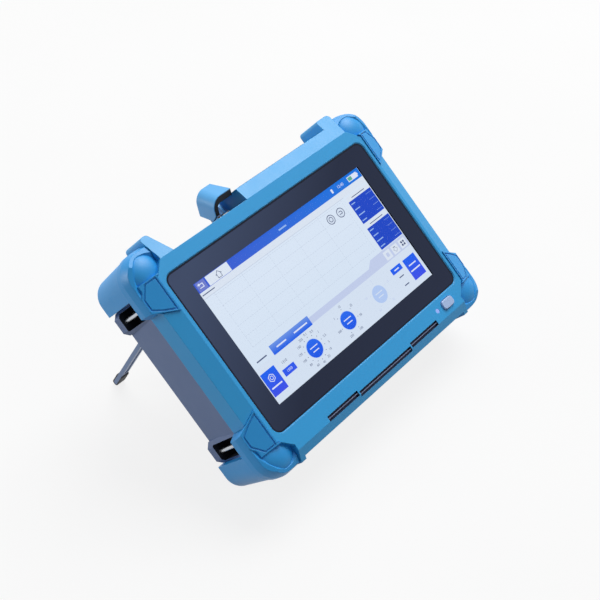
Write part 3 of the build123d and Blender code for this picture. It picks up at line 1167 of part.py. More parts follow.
# ---- port bay and optical port ------------------------------------------------------------------------
with BuildPart() as port_bay:
    with BuildSketch(FRONT.offset(-(BAY_FRONT + SEAM))):
        with BuildLine():
            Polyline(
                (BAY_LEFT, BAY_FLOOR),
                (BAY_LEFT, BAY_FLOOR - BAY_WALL),
                (WELL_LEFT - BAY_WALL, BAY_FLOOR - BAY_WALL),
                (WELL_LEFT - BAY_WALL, WELL_FLOOR - BAY_WALL),
                (BAY_RIGHT, WELL_FLOOR - BAY_WALL),
                (BAY_RIGHT, WELL_FLOOR),
                (WELL_LEFT, WELL_FLOOR),
                (WELL_LEFT, BAY_FLOOR),
                close=True,
            )
        make_face()
    extrude(amount=-(BAY_BACK - BAY_FRONT - SEAM))
    # back wall of the well, and the knuckle that carries the hinge pin
    with BuildSketch(FRONT.offset(-(BAY_BACK - BAY_WALL))):
        with Locations((WELL_LEFT - BAY_WALL, WELL_FLOOR - BAY_WALL)):
            Rectangle(
                BAY_RIGHT - WELL_LEFT + BAY_WALL,
                BAY_BACK_TOP - WELL_FLOOR + BAY_WALL,
                align=(Align.MIN, Align.MIN),
            )
    extrude(amount=-BAY_WALL)
    with BuildSketch(Plane.YZ.offset(KNUCKLE_LEFT)):
        with BuildLine():
            Polyline(
                (HINGE_DEPTH - KNUCKLE_RADIUS, HINGE_HEIGHT),
                (HINGE_DEPTH - KNUCKLE_RADIUS, WELL_FLOOR),
                (BAY_BACK, WELL_FLOOR),
                (BAY_BACK, BAY_BACK_TOP),
                (HINGE_DEPTH + KNUCKLE_RADIUS, HINGE_HEIGHT),
                close=True,
            )
        make_face()
        with Locations((HINGE_DEPTH, HINGE_HEIGHT)):
            Circle(KNUCKLE_RADIUS)
            Circle(HINGE_PIN_DIAMETER / 2 + FIT_GAP, mode=Mode.SUBTRACT)
    extrude(amount=KNUCKLE_WIDTH)

with BuildPart() as optical_port:
    with BuildSketch(Plane.XY.offset(WELL_FLOOR)):
        with Locations((PORT_X, PORT_DEPTH)):
            RectangleRounded(PORT_FLANGE, PORT_FLANGE, PORT_KEY_WIDTH / 2)
    extrude(amount=PORT_FLANGE_THICKNESS)
    with BuildSketch(Plane.XY.offset(WELL_FLOOR)):
        with Locations((PORT_X, PORT_DEPTH)):
            Circle(PORT_BARREL_DIAMETER / 2)
    extrude(amount=PORT_FLANGE_THICKNESS + PORT_BARREL_HEIGHT)
    chamfer(optical_port.faces().sort_by(Axis.Z)[-1].edges(), length=SEAM)
    with BuildSketch(Plane.XY.offset(WELL_FLOOR)):
        with Locations((PORT_X, PORT_DEPTH)):
            Circle(PORT_COLLAR_DIAMETER / 2)
    extrude(amount=PORT_COLLAR_HEIGHT)
    # thread of the barrel, drawn as plain rings
    for ring in range(PORT_THREADS):
        groove_z = WELL_FLOOR + PORT_COLLAR_HEIGHT + PORT_THREAD_PITCH * (ring + 1)
        with BuildSketch(Plane.XY.offset(groove_z)):
            with Locations((PORT_X, PORT_DEPTH)):
                Circle(PORT_BARREL_DIAMETER)
                Circle(PORT_BARREL_DIAMETER / 2 - PORT_THREAD_DEPTH, mode=Mode.SUBTRACT)
        extrude(amount=PORT_THREAD_WIDTH, mode=Mode.SUBTRACT)
    with BuildSketch(Plane.XY.offset(WELL_FLOOR + PORT_FLANGE_THICKNESS)):
        with Locations((PORT_X, PORT_DEPTH)):
            Circle(PORT_BORE / 2)
            Rectangle(PORT_KEY_WIDTH, PORT_BARREL_DIAMETER, align=(Align.CENTER, Align.MAX))
    extrude(amount=PORT_BARREL_HEIGHT, mode=Mode.SUBTRACT)

with BuildPart() as port_ferrule:
    with BuildSketch(Plane.XY.offset(WELL_FLOOR + PORT_FLANGE_THICKNESS)):
        with Locations((PORT_X, PORT_DEPTH)):
            Circle(FERRULE_DIAMETER / 2)
    extrude(amount=FERRULE_HEIGHT)
    chamfer(port_ferrule.faces().sort_by(Axis.Z)[-1].edges(), length=FERRULE_CHAMFER)

# ---- dust cover: drawn shut about its hinge and turned open about it ----------------------------------
swing = -radians(COVER_OPEN_ANGLE)
HINGE = Plane(origin=(0, HINGE_DEPTH, HINGE_HEIGHT), x_dir=(1, 0, 0), z_dir=(0, -sin(swing), cos(swing)))
HINGE_SIDE = Plane(origin=HINGE.origin, x_dir=(0, cos(swing), sin(swing)), z_dir=(1, 0, 0))
HINGE_FRONT = Plane(origin=HINGE.origin, x_dir=(1, 0, 0), z_dir=(0, -cos(swing), -sin(swing)))


def cover_front(wall, spare):
    """Front view of the dust cover, or of its hollow inside the given wall; its left side leans in."""
    height = COVER_RISE - wall + COVER_DROP + spare
    left = COVER_LEFT + wall
    with BuildSketch(HINGE_FRONT.offset(COVER_REACH - wall)) as front_view:
        with BuildLine():
            Polyline(
                (left, -COVER_DROP - spare),
                (COVER_RIGHT + spare, -COVER_DROP - spare),
                (COVER_RIGHT + spare, COVER_RISE - wall),
                (left + COVER_LEAN_IN * height / (COVER_DROP + COVER_RISE), COVER_RISE - wall),
                close=True,
            )
        make_face()
    return front_view.sketch


def cover_edge(side_inset, front_inset, bend):
    """Plan of the dust cover's lower edge, open at its right and its back, drawn in from the outside."""
    with BuildSketch(HINGE.offset(-COVER_DROP)) as edge:
        with Locations((COVER_LEFT + side_inset, front_inset - COVER_REACH)):
            Rectangle(
                COVER_WIDTH - side_inset,
                COVER_REACH - COVER_HEEL - front_inset,
                align=(Align.MIN, Align.MIN),
            )
        fillet(edge.vertices().group_by(Axis.X)[0].sort_by(Axis.Y)[0], radius=bend)
    return edge.sketch


with BuildPart() as cover_hollow:
    extrude(cover_front(COVER_WALL, MARGIN), amount=-COVER_REACH)
    hollow_left = cover_hollow.faces().sort_by(Axis.X)[0]
    hollow_bend = hollow_left.edges().group_by(Axis(HINGE.origin, HINGE_FRONT.z_dir))[-1]
    fillet(hollow_bend, radius=COVER_BEND - COVER_WALL)

with BuildPart() as dust_cover:
    extrude(cover_front(0, 0), amount=-(COVER_REACH - COVER_ROOF_BACK))
    left_wall = dust_cover.faces().sort_by(Axis.X)[0]
    fillet(left_wall.edges().group_by(Axis(HINGE.origin, HINGE_FRONT.z_dir))[-1], radius=COVER_BEND)
    with BuildSketch(HINGE_SIDE.offset(COVER_LEFT)):
        with BuildLine():
            Polyline(
                (-COVER_REACH, -COVER_DROP),
                (-COVER_REACH, COVER_RISE),
                (-COVER_ROOF_BACK, COVER_RISE),
                (-COVER_ROOF_BACK, COVER_HEEL - COVER_DROP - COVER_ROOF_BACK),
                (-COVER_HEEL, -COVER_DROP),
                close=True,
            )
        make_face()
    extrude(amount=COVER_WIDTH, mode=Mode.INTERSECT)
    add(cover_hollow.part, mode=Mode.SUBTRACT)
    # step for the seal, inside a thin lip
    extrude(cover_edge(SEAL_LIP, SEAL_LIP, COVER_BEND - SEAL_LIP), amount=SEAL_THICKNESS, mode=Mode.SUBTRACT)
    # ears round the hinge pin
    for ear_start in EAR_STARTS:
        with BuildSketch(HINGE_SIDE.offset(ear_start)):
            with BuildLine():
                Polyline(
                    (-COVER_HEEL, COVER_RISE - COVER_WALL / 2),
                    (-COVER_ROOF_BACK, COVER_RISE - COVER_WALL / 2),
                    (EAR_RADIUS, 0),
                    (-EAR_RADIUS, 0),
                    close=True,
                )
            make_face()
            Circle(EAR_RADIUS)
            Circle(HINGE_PIN_DIAMETER / 2 + HINGE_GAP, mode=Mode.SUBTRACT)
        extrude(amount=EAR_WIDTH)

with BuildPart() as dust_cover_seal:
    inner_bend = COVER_BEND - SEAL_LIP - SEAL_WIDTH
    extrude(cover_edge(SEAL_LIP, SEAL_LIP, COVER_BEND - SEAL_LIP), amount=SEAL_THICKNESS)
    extrude(
        cover_edge(SEAL_LIP + SEAL_SIDE_WIDTH, SEAL_LIP + SEAL_WIDTH, inner_bend),
        amount=SEAL_THICKNESS,
        mode=Mode.SUBTRACT,
    )

with BuildPart() as dust_cover_hinge_pin:
    with BuildSketch(Plane.YZ.offset(EAR_STARTS[0])):
        with Locations((HINGE_DEPTH, HINGE_HEIGHT)):
            Circle(HINGE_PIN_DIAMETER / 2)
    extrude(amount=EAR_STARTS[1] + EAR_WIDTH - EAR_STARTS[0])

# ---- folding stand ------------------------------------------------------------------------------------
drop = radians(STAND_OPEN_ANGLE)
PIVOT = Plane(
    origin=(0, STAND_PIVOT_DEPTH, STAND_PIVOT_HEIGHT), x_dir=(0, cos(drop), -sin(drop)), z_dir=(1, 0, 0)
)
PIVOT_FRONT = Plane(origin=PIVOT.origin, x_dir=(1, 0, 0), z_dir=(0, -sin(drop), -cos(drop)))

with BuildPart() as stand_legs:
    for side in SIDES:
        with BuildSketch(PIVOT.offset(side * STAND_X - LEG_WIDTH / 2)):
            Circle(LEG_HEAD_RADIUS)
            with Locations((LEG_LENGTH / 2, 0)):
                SlotOverall(LEG_LENGTH + LEG_THICKNESS, LEG_THICKNESS)
            Circle(SHAFT_DIAMETER / 2 + FIT_GAP, mode=Mode.SUBTRACT)
        extrude(amount=LEG_WIDTH)
    # long groove in the front of each leg
    groove_length = LEG_LENGTH - 2 * LEG_HEAD_RADIUS - SHOE_LENGTH
    with BuildSketch(PIVOT_FRONT.offset(LEG_THICKNESS / 2 - LEG_GROOVE_DEPTH)):
        for side in SIDES:
            with Locations((side * STAND_X, -2 * LEG_HEAD_RADIUS - groove_length / 2)):
                SlotOverall(groove_length, LEG_GROOVE_WIDTH, rotation=90)
    extrude(amount=LEG_THICKNESS, mode=Mode.SUBTRACT)

with BuildPart() as stand_feet:
    for side in SIDES:
        with BuildSketch(PIVOT.offset(side * STAND_X - LEG_WIDTH / 2)):
            with Locations((LEG_LENGTH - SHOE_LENGTH / 2 + SHOE_RADIUS, 0)):
                SlotOverall(SHOE_LENGTH, 2 * SHOE_RADIUS)
            with Locations((LEG_LENGTH / 2, 0)):
                SlotOverall(LEG_LENGTH + LEG_THICKNESS, LEG_THICKNESS, mode=Mode.SUBTRACT)
        extrude(amount=LEG_WIDTH)

with BuildPart() as stand_shaft:
    with BuildSketch(Plane.YZ.offset(-STAND_X - LEG_WIDTH / 2)):
        with Locations((STAND_PIVOT_DEPTH, STAND_PIVOT_HEIGHT)):
            Circle(SHAFT_DIAMETER / 2)
    extrude(amount=2 * STAND_X + LEG_WIDTH)

with BuildPart() as stand_brackets:
    for side in SIDES:
        for bracket_x in BRACKET_X:
            with BuildSketch(Plane.YZ.offset(side * bracket_x - BRACKET_WIDTH / 2)):
                with BuildLine():
                    Polyline(
                        (STAND_BAY_FLOOR, STAND_PIVOT_HEIGHT - BRACKET_RADIUS),
                        (STAND_PIVOT_DEPTH, STAND_PIVOT_HEIGHT - BRACKET_RADIUS),
                        (STAND_PIVOT_DEPTH, STAND_PIVOT_HEIGHT + BRACKET_RADIUS),
                        (STAND_BAY_FLOOR, STAND_PIVOT_HEIGHT + BRACKET_RADIUS),
                        close=True,
                    )
                make_face()
                with Locations((STAND_BAY_FLOOR, STAND_PIVOT_HEIGHT + BRACKET_RADIUS)):
                    Rectangle(BRACKET_FOOT_THICKNESS, BRACKET_FOOT, align=(Align.MIN, Align.MAX))
                with Locations((STAND_PIVOT_DEPTH, STAND_PIVOT_HEIGHT)):
                    Circle(BRACKET_RADIUS)
                    Circle(SHAFT_DIAMETER / 2 + SHAFT_GAP, mode=Mode.SUBTRACT)
            extrude(amount=BRACKET_WIDTH)

# ---- lean back onto the stand -------------------------------------------------------------------------
# The lower bumpers' rounded heels and the stand's rounded feet touch one flat surface.
heel_depth = BUMPER_BACK - HEEL_RADIUS
heel_height = (
    HEEL_RADIUS / cos(radians(GUARD_DRAFT))
    + (heel_depth - RING_BACK) * tan(radians(GUARD_DRAFT))
    - (BUMPER_TOP - GUARD_END_INSET)
)
foot_depth = STAND_PIVOT_DEPTH + LEG_LENGTH * cos(drop)
foot_height = STAND_PIVOT_HEIGHT - LEG_LENGTH * sin(drop)
span = hypot(foot_depth - heel_depth, foot_height - heel_height)
LEAN = degrees(
    acos((SHOE_RADIUS - HEEL_RADIUS) / span) - atan2(foot_depth - heel_depth, foot_height - heel_height)
)

PIECES = {
    "front_bezel": front_bezel,
    "touch_glass": touch_glass,
    "glass_gasket": glass_gasket,
    "lcd_module": lcd_module,
    "rear_housing": rear_housing,
    "corner_bumper_top_left": corner_bumper_top_left,
    "corner_bumper_top_right": corner_bumper_top_right,
    "corner_bumper_bottom_left": corner_bumper_bottom_left,
    "corner_bumper_bottom_right": corner_bumper_bottom_right,
    "strap_pins": strap_pins,
    "power_button": power_button,
    "led_light_pipe": led_light_pipe,
    "main_board": main_board,
    "board_screws": board_screws,
    "optical_module": optical_module,
    "fibre_spool": fibre_spool,
    "speaker": speaker,
    "battery_pack": battery_pack,
    "battery_door": battery_door,
    "housing_screws": housing_screws,
    "port_bay": port_bay,
    "optical_port": optical_port,
    "port_ferrule": port_ferrule,
    "dust_cover": dust_cover,
    "dust_cover_seal": dust_cover_seal,
    "dust_cover_hinge_pin": dust_cover_hinge_pin,
    "stand_legs": stand_legs,
    "stand_feet": stand_feet,
    "stand_shaft": stand_shaft,
    "stand_brackets": stand_brackets,
}

leaned = {name: piece.part.moved(Location((0, 0, 0), (-LEAN, 0, 0))) for name, piece in PIECES.items()}
lows = [piece.bounding_box().min for piece in leaned.values()]
highs = [piece.bounding_box().max for piece in leaned.values()]
REST = Location(
    (
        -(min(low.X for low in lows) + max(high.X for high in highs)) / 2,
        -(min(low.Y for low in lows) + max(high.Y for high in highs)) / 2,
        -min(low.Z for low in lows),
    )
)

os.makedirs("parts", exist_ok=True)
for name, piece in leaned.items():
    settled = piece.moved(REST)
    settled.label = name
    export_step(settled, f"parts/{name}.step")
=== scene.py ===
"""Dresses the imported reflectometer: finishes, the picture on its display, light and camera."""

import json
import logging
import math
from collections.abc import Sequence
from dataclasses import dataclass, field
from enum import Enum
from functools import cache
from typing import Any

import bmesh
import bpy
from mathutils import Matrix, Vector


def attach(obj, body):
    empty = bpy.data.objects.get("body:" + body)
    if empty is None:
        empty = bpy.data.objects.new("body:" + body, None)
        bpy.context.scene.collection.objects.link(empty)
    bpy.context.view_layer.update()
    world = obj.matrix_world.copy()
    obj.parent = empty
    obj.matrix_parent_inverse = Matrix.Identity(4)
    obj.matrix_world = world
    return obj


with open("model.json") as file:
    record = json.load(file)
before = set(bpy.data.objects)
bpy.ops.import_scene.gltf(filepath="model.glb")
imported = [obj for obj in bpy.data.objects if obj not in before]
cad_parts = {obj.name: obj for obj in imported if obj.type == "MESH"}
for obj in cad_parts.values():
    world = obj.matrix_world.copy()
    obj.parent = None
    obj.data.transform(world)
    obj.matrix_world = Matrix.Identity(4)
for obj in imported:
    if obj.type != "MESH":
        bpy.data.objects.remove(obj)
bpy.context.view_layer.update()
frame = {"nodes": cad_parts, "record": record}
log = logging.getLogger("reflectometer")

Colour = tuple[float, float, float]
Point = tuple[float, float]

MM = 0.001
# in millimetres: the picture area, and half the cover glass with the radius of its corners
SCREEN = (154.2, 85.9)
GLASS_HALF = (91.0, 56.6)
GLASS_CORNER = 6.0
# the way from the middle of the glass to each corner of the frame
CORNERS = {
    f"{end}_{side}": (x, z)
    for end, z in (("top", 1), ("bottom", -1))
    for side, x in (("left", -1), ("right", 1))
}


def srgb(red: int, green: int, blue: int) -> Colour:
    """Turns a colour as a screen shows it, 0 to 255, into the linear one that a shader takes.

    Args:
        red, green, blue: the displayed channels.

    Returns:
        The three linear channels.
    """

    def linear(channel: int) -> float:
        """One channel, made linear."""
        value = channel / 255
        return value / 12.92 if value <= 0.04045 else ((value + 0.055) / 1.055) ** 2.4

    return (linear(red), linear(green), linear(blue))


# ---- the instrument's own frame --------------------------------------


@dataclass(frozen=True)
class Lean:
    """The instrument's upright frame, in millimetres, as it leans on its stand.

    x runs right, y from the glass to the back and z up the screen, from the middle of the glass.
    """

    origin: Vector
    angle: float

    @classmethod
    def of_frame(cls) -> "Lean":
        """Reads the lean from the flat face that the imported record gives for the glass.

        Returns:
            The frame.
        """
        mount = next(m for m in frame["record"]["mounts"] if m["name"] == "glass_front")
        _, back, up = mount["axis"]
        return cls(Vector(mount["pos_m"]), math.atan2(up, -back))

    @property
    def matrix(self) -> Matrix:
        """Takes a point of the upright frame, in millimetres, into the row frame, in metres."""
        turn = Matrix.Rotation(-self.angle, 4, "X")
        return Matrix.Translation(self.origin) @ turn @ Matrix.Scale(MM, 4)

    def place(self, x: float, y: float, z: float) -> Vector:
        """The row frame point of one upright point."""
        return self.matrix @ Vector((x, y, z))


LEAN = Lean.of_frame()


# ---- shader building -------------------------------------------------


@dataclass(frozen=True)
class Value:
    """One output socket, on which ordinary arithmetic adds Math nodes."""

    shader: "Shader"
    socket: bpy.types.NodeSocket

    def _math(self, operation: str, first: Any, second: Any = 0.0) -> "Value":
        """A Math node on two values."""
        return self.shader.node("ShaderNodeMath", {"operation": operation}, {0: first, 1: second})

    def __add__(self, other: Any) -> "Value":
        """self + other."""
        return self._math("ADD", self, other)

    def __sub__(self, other: Any) -> "Value":
        """self - other."""
        return self._math("SUBTRACT", self, other)

    def __rsub__(self, other: Any) -> "Value":
        """other - self."""
        return self._math("SUBTRACT", other, self)

    def __mul__(self, other: Any) -> "Value":
        """self * other."""
        return self._math("MULTIPLY", self, other)

    def __pow__(self, other: Any) -> "Value":
        """self to the power of other."""
        return self._math("POWER", self, other)

    def __gt__(self, other: Any) -> "Value":
        """1 where self is greater than other."""
        return self._math("GREATER_THAN", self, other)

    def smallest(self, other: Any) -> "Value":
        """The smaller of the two."""
        return self._math("MINIMUM", self, other)

    def largest(self, other: Any) -> "Value":
        """The larger of the two."""
        return self._math("MAXIMUM", self, other)

    def size(self) -> "Value":
        """self without its sign."""
        return self._math("ABSOLUTE", self)

    __radd__ = __add__
    __rmul__ = __mul__


class Shader:
    """A material's node tree, built by calls."""

    def __init__(self, name: str) -> None:
        """Starts an empty material.

        Args:
            name: the finish, in a maker's words.
        """
        self.material = bpy.data.materials.new(name)
        self.material.use_nodes = True
        self.tree = self.material.node_tree
        self.tree.nodes.clear()

    @classmethod
    def on_tree(cls, tree: bpy.types.NodeTree) -> "Shader":
        """Starts on a tree that is already there, such as the world's.

        Args:
            tree: the node tree, which is emptied.

        Returns:
            The shader, with no material of its own.
        """
        made = cls.__new__(cls)
        made.material = None
        made.tree = tree
        made.tree.nodes.clear()
        return made

    def node(self, kind: str, settings: dict[str, Any], inputs: dict[Any, Any], output: Any = 0) -> Value:
        """Adds any node.

        Args:
            kind: the node's type.
            settings: its properties, set first.
            inputs: values or links for its sockets, by name or number.
            output: which output to return.

        Returns:
            That output.
        """
        made = self.tree.nodes.new(kind)
        for key, value in settings.items():
            setattr(made, key, value)
        for key, value in inputs.items():
            if isinstance(value, Value):
                self.tree.links.new(value.socket, made.inputs[key])
            elif value is not None:
                made.inputs[key].default_value = value
        return Value(self, made.outputs[output]) if len(made.outputs) else Value(self, None)

    def upright(self) -> Value:
        """Reads the surface point in the instrument's upright frame.

        Returns:
            The point, in metres.
        """
        point = self.node("ShaderNodeTexCoord", {}, {}, "Object")
        inputs = {"Vector": point, "Location": LEAN.origin[:], "Rotation": (-LEAN.angle, 0.0, 0.0)}
        return self.node("ShaderNodeMapping", {"vector_type": "TEXTURE"}, inputs)

    def split(self, vector: Value) -> tuple[Value, ...]:
        """A vector's three parts."""
        outputs = self.node("ShaderNodeSeparateXYZ", {}, {0: vector}).socket.node.outputs
        return tuple(Value(self, output) for output in outputs)

    def noise(self, where: Value, scale: float, detail: float = 3.0, roughness: float = 0.5) -> Value:
        """A noise value round 0.5.

        Args:
            where: the point.
            scale: waves per metre.
            detail: how many octaves.
            roughness: how strong the finer ones are.

        Returns:
            The noise.
        """
        inputs = {"Vector": where, "Scale": scale, "Detail": detail, "Roughness": roughness}
        return self.node("ShaderNodeTexNoise", {}, inputs)

    def blend(self, share: Any, first: Any, second: Any) -> Value:
        """A colour mixed from two, which may be plain colours or links."""
        low, high = (c if isinstance(c, Value) else (*c, 1.0) for c in (first, second))
        return self.node("ShaderNodeMix", {"data_type": "RGBA"}, {0: share, 6: low, 7: high}, 2)

    def ramp(self, value: Value, low: float, high: float) -> Value:
        """0 at low, 1 at high, even in between and flat beyond."""
        return self.node("ShaderNodeMapRange", {}, {0: value, 1: low, 2: high, 3: 0.0, 4: 1.0})

    def bump(self, height: Value, strength: float, distance: float, normal: Value | None = None) -> Value:
        """A normal bent by a height."""
        inputs = {"Strength": strength, "Distance": distance, "Height": height, "Normal": normal}
        return self.node("ShaderNodeBump", {}, inputs)

    def soft_edge(self, radius: float) -> Value:
        """A normal that rounds the edges of a moulding."""
        return self.node("ShaderNodeBevel", {"samples": 6}, {"Radius": radius})

    def finish(self, surface: Value) -> bpy.types.Material:
        """Joins the surface to the output and returns the material."""
        self.node("ShaderNodeOutputMaterial", {}, {"Surface": surface})
        return self.material

    def principled(self, inputs: dict[str, Any]) -> bpy.types.Material:
        """Ends the material with one all-round surface."""
        return self.finish(self.node("ShaderNodeBsdfPrincipled", {}, inputs))


# ---- finishes --------------------------------------------------------


@dataclass(frozen=True)
class Moulding:
    """Moulded plastic or rubber: slow changes of tone, a fine spark-eroded grain and rounded edges."""

    name: str
    colour: Colour
    roughness: float = 0.42
    mottle: float = 0.06
    grain_scale: float = 2600.0
    grain: float = 0.2
    edge: float = 0.00035
    specular: float = 0.5
    grain_height: float = 0.0001
    grain_share: float = 0.3
    cloud_scale: float = 28.0
    sheen_scale: float = 120.0
    sheen_swing: float = 0.12

    def build(self) -> bpy.types.Material:
        """Makes the material.

        Returns:
            The material.
        """
        shader = Shader(self.name)
        point = shader.upright()
        clouds = shader.noise(point, self.cloud_scale, 2.0)
        fine = shader.noise(point, self.grain_scale, 4.0, 0.6)
        sheen = shader.noise(point, self.sheen_scale)
        dark = tuple(c * (1 - self.mottle) for c in self.colour)
        light = tuple(min(1.0, c * (1 + self.mottle)) for c in self.colour)
        share = clouds * (1 - self.grain_share) + fine * self.grain_share
        inputs = {
            "Base Color": shader.blend(share, dark, light),
            "Roughness": self.roughness - self.sheen_swing / 2 + self.sheen_swing * sheen,
            "Normal": shader.bump(fine, self.grain, self.grain_height, shader.soft_edge(self.edge)),
            "Specular IOR Level": self.specular,
        }
        return shader.principled(inputs)


@dataclass(frozen=True)
class Metal:
    """Turned or brushed metal, with a fine lay along one direction."""

    name: str
    colour: Colour
    roughness: float = 0.28
    lay: tuple[float, float, float] = (4000.0, 60.0, 4000.0)
    shade: float = 0.85
    swing: float = 0.16
    scratch: float = 0.08
    scratch_height: float = 0.00005
    edge: float = 0.0002

    def build(self) -> bpy.types.Material:
        """Makes the material.

        Returns:
            The material.
        """
        shader = Shader(self.name)
        stretched = shader.node("ShaderNodeMapping", {}, {"Vector": shader.upright(), "Scale": self.lay})
        lines = shader.noise(stretched, 1.0)
        edge = shader.soft_edge(self.edge)
        inputs = {
            "Base Color": shader.blend(lines, tuple(c * self.shade for c in self.colour), self.colour),
            "Metallic": 1.0,
            "Roughness": self.roughness - self.swing / 2 + self.swing * lines,
            "Normal": shader.bump(lines, self.scratch, self.scratch_height, edge),
        }
        return shader.principled(inputs)


@dataclass(frozen=True)
class Glass:
    """Cover glass: clear over the picture, printed dark round it, with a painted reflection that lightens
    the print towards the upper left and a painted shade line along its edge.
    """

    name: str
    # the print's colour at both ends of a painted reflection, lighter at the upper left
    print_painted_reflection_high: Colour
    print_painted_reflection_low: Colour
    # width in millimetres and colour of a painted shade line for the gap between the glass and the frame
    edge: float = 1.4
    gap_shade_colour: Colour = (0.002, 0.006, 0.024)
    # how far and at what tilt the painted reflection fades across the print
    painted_reflection_reach: float = 110.0
    painted_reflection_tilt: float = 0.8
    haze: float = 0.03
    smear_scale: float = 90.0
    smear: float = 0.05
    roughness: float = 0.1
    specular: float = 0.2

    def painted_gap_shade(self, across: Value, up: Value) -> Value:
        """Finds the narrow band inside the glass's own outline, where the shade of the gap between glass
        and frame is painted.

        Args:
            across, up: the surface point, from the middle of the glass.

        Returns:
            1 in the band and 0 inside it.
        """
        pairs = zip((across, up), GLASS_HALF)
        wide, high = (part.size() - (side - GLASS_CORNER) * MM for part, side in pairs)
        round_part = (wide.largest(0.0) ** 2.0 + high.largest(0.0) ** 2.0) ** 0.5
        reach = round_part + wide.largest(high).smallest(0.0)
        return reach > (GLASS_CORNER - self.edge) * MM

    def build(self) -> bpy.types.Material:
        """Makes the material.

        Returns:
            The material.
        """
        shader = Shader(self.name)
        point = shader.upright()
        across, _, up = shader.split(point)
        wide, high = (side / 2 * MM for side in SCREEN)
        outside = ((across.size() - wide).largest(up.size() - high)) > 0.0
        # painted reflection: the print is lightened towards the upper left, where the glass reflects the
        # bright studio
        slope = shader.ramp(up - across * self.painted_reflection_tilt, 0.0, self.painted_reflection_reach * MM)
        printed = shader.blend(slope, self.print_painted_reflection_low, self.print_painted_reflection_high)
        inputs = {
            # painted shade: a near-black line along the glass's edge stands for the shaded gap round it
            "Base Color": shader.blend(self.painted_gap_shade(across, up), printed, self.gap_shade_colour),
            "Roughness": self.roughness + self.smear * shader.noise(point, self.smear_scale, 2.0),
            "Alpha": outside * (1 - self.haze) + self.haze,
            "Specular IOR Level": self.specular,
        }
        return shader.principled(inputs)


@dataclass(frozen=True)
class Ink:
    """Light from one colour of the display's picture, with the panel's fine cell pattern."""

    name: str
    colour: Colour
    low: Colour | None = None
    span: Point = (0.0, 1.0)
    axis: int = 2
    strength: float = 1.0
    cell_scale: float = 900.0
    cell_swing: float = 0.12
    unlit: Colour = (0.01, 0.01, 0.012)
    roughness: float = 0.5
    specular: float = 0.04

    def build(self) -> bpy.types.Material:
        """Makes the material: one colour, or a slope along one axis from low to colour over the span.

        Returns:
            The material.
        """
        shader = Shader(self.name)
        point = shader.upright()
        cells = shader.noise(point, self.cell_scale, 1.0)
        tone: Any = self.colour
        if self.low is not None:
            start, end = (place * MM for place in self.span)
            tone = shader.blend(shader.ramp(shader.split(point)[self.axis], start, end), self.low, tone)
        share = 1 - self.cell_swing / 2 + self.cell_swing * cells
        inputs = {
            "Base Color": (*self.unlit, 1.0),
            "Roughness": self.roughness,
            "Emission Color": shader.blend(share, (0.0, 0.0, 0.0), tone),
            "Emission Strength": self.strength,
            "Specular IOR Level": self.specular,
        }
        return shader.principled(inputs)


class Finish(Enum):
    """The finishes of the instrument's own pieces."""

    SHELL = Moulding("shell_blue", srgb(42, 158, 222), 0.4, 0.05)
    BUMPER = Moulding("bumper_blue", srgb(36, 152, 224), 0.44, 0.07, 1500.0, 0.3, 0.0006)
    HOUSING = Moulding("housing_grey", srgb(100, 120, 160), 0.55, 0.06, 1400.0, 0.5, specular=0.35)
    DOOR = Moulding("door_grey", srgb(86, 106, 146), 0.55, 0.06, 1400.0, 0.5, specular=0.35)
    COVER = Moulding("cover_blue", srgb(84, 168, 228), 0.36, 0.04, specular=0.45)
    # painted shade: near-black faces inside the strap slots stand for the shade in them
    HOLLOW = Moulding("strap_slot_painted_shade", srgb(20, 24, 34), 0.6, 0.1, 1400.0, 0.3, specular=0.2)
    # painted shade: dark navy faces in the slots of the rim's foot stand for the shade in them
    GROOVE = Moulding("rim_slot_painted_shade", srgb(26, 42, 76), 0.5, 0.1, 1800.0, 0.3, specular=0.25)
    GROOVE_RIB = Moulding("rim_slot_rib", srgb(108, 116, 148), 0.45, 0.06, 1800.0, 0.3)
    RUBBER = Moulding("seal_rubber", srgb(22, 24, 30), 0.62, 0.15, 1800.0, 0.5, 0.0003)
    BLACK = Moulding("black_plastic", srgb(30, 33, 40), 0.48, 0.12, 1800.0, 0.4, 0.0003)
    BUTTON = Moulding("button_grey", srgb(172, 195, 236), 0.34, 0.04, 3000.0, 0.1, 0.0003)
    STAND = Metal("stand_steel", srgb(100, 118, 150), 0.36)
    BOARD = Moulding("board_green", srgb(24, 92, 54), 0.4, 0.15, 900.0, 0.3, 0.0002)
    STEEL = Metal("pin_steel", srgb(196, 202, 210))
    PORT = Metal("port_plating", srgb(206, 206, 200), 0.2)
    MODULE = Metal("module_aluminium", srgb(170, 172, 178), 0.4)
    FERRULE = Moulding("ferrule_ceramic", srgb(232, 231, 222), 0.15, 0.02, 4000.0, 0.0, 0.0002)
    LIGHT = Ink("status_light", srgb(150, 176, 244))
    # the two print colours carry a painted reflection, lighter at the upper left
    GLASS = Glass("cover_glass", srgb(64, 78, 110), srgb(24, 36, 64))
    PANEL = Ink("panel_ground", srgb(215, 230, 247), srgb(221, 234, 250), (20.0, -30.0))


@cache
def material(style: Enum) -> bpy.types.Material:
    """The material of a Finish or a Tone, built the first time it is asked for."""
    return style.value.build()


def add(name: str, data: bpy.types.ID) -> bpy.types.Object:
    """Adds an object to the scene.

    Args:
        name: the object.
        data: its mesh, curve, lamp or camera.

    Returns:
        The object.
    """
    made = bpy.data.objects.new(name, data)
    bpy.context.scene.collection.objects.link(made)
    return made


def fix(mesh: bpy.types.Mesh, styles: Sequence[Enum], slot: str = "screen") -> bpy.types.Object:
    """Makes a mesh a piece that rides on the instrument.

    Args:
        mesh: the shape, which gives the piece its name.
        styles: the finishes, in the order of the faces' numbers.
        slot: the name under which the piece is logged.

    Returns:
        The piece.
    """
    for style in styles:
        mesh.materials.append(material(style))
    piece = add(mesh.name, mesh)
    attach(piece, "instrument")
    log.info("%s in %s", piece.name, slot)
    return piece


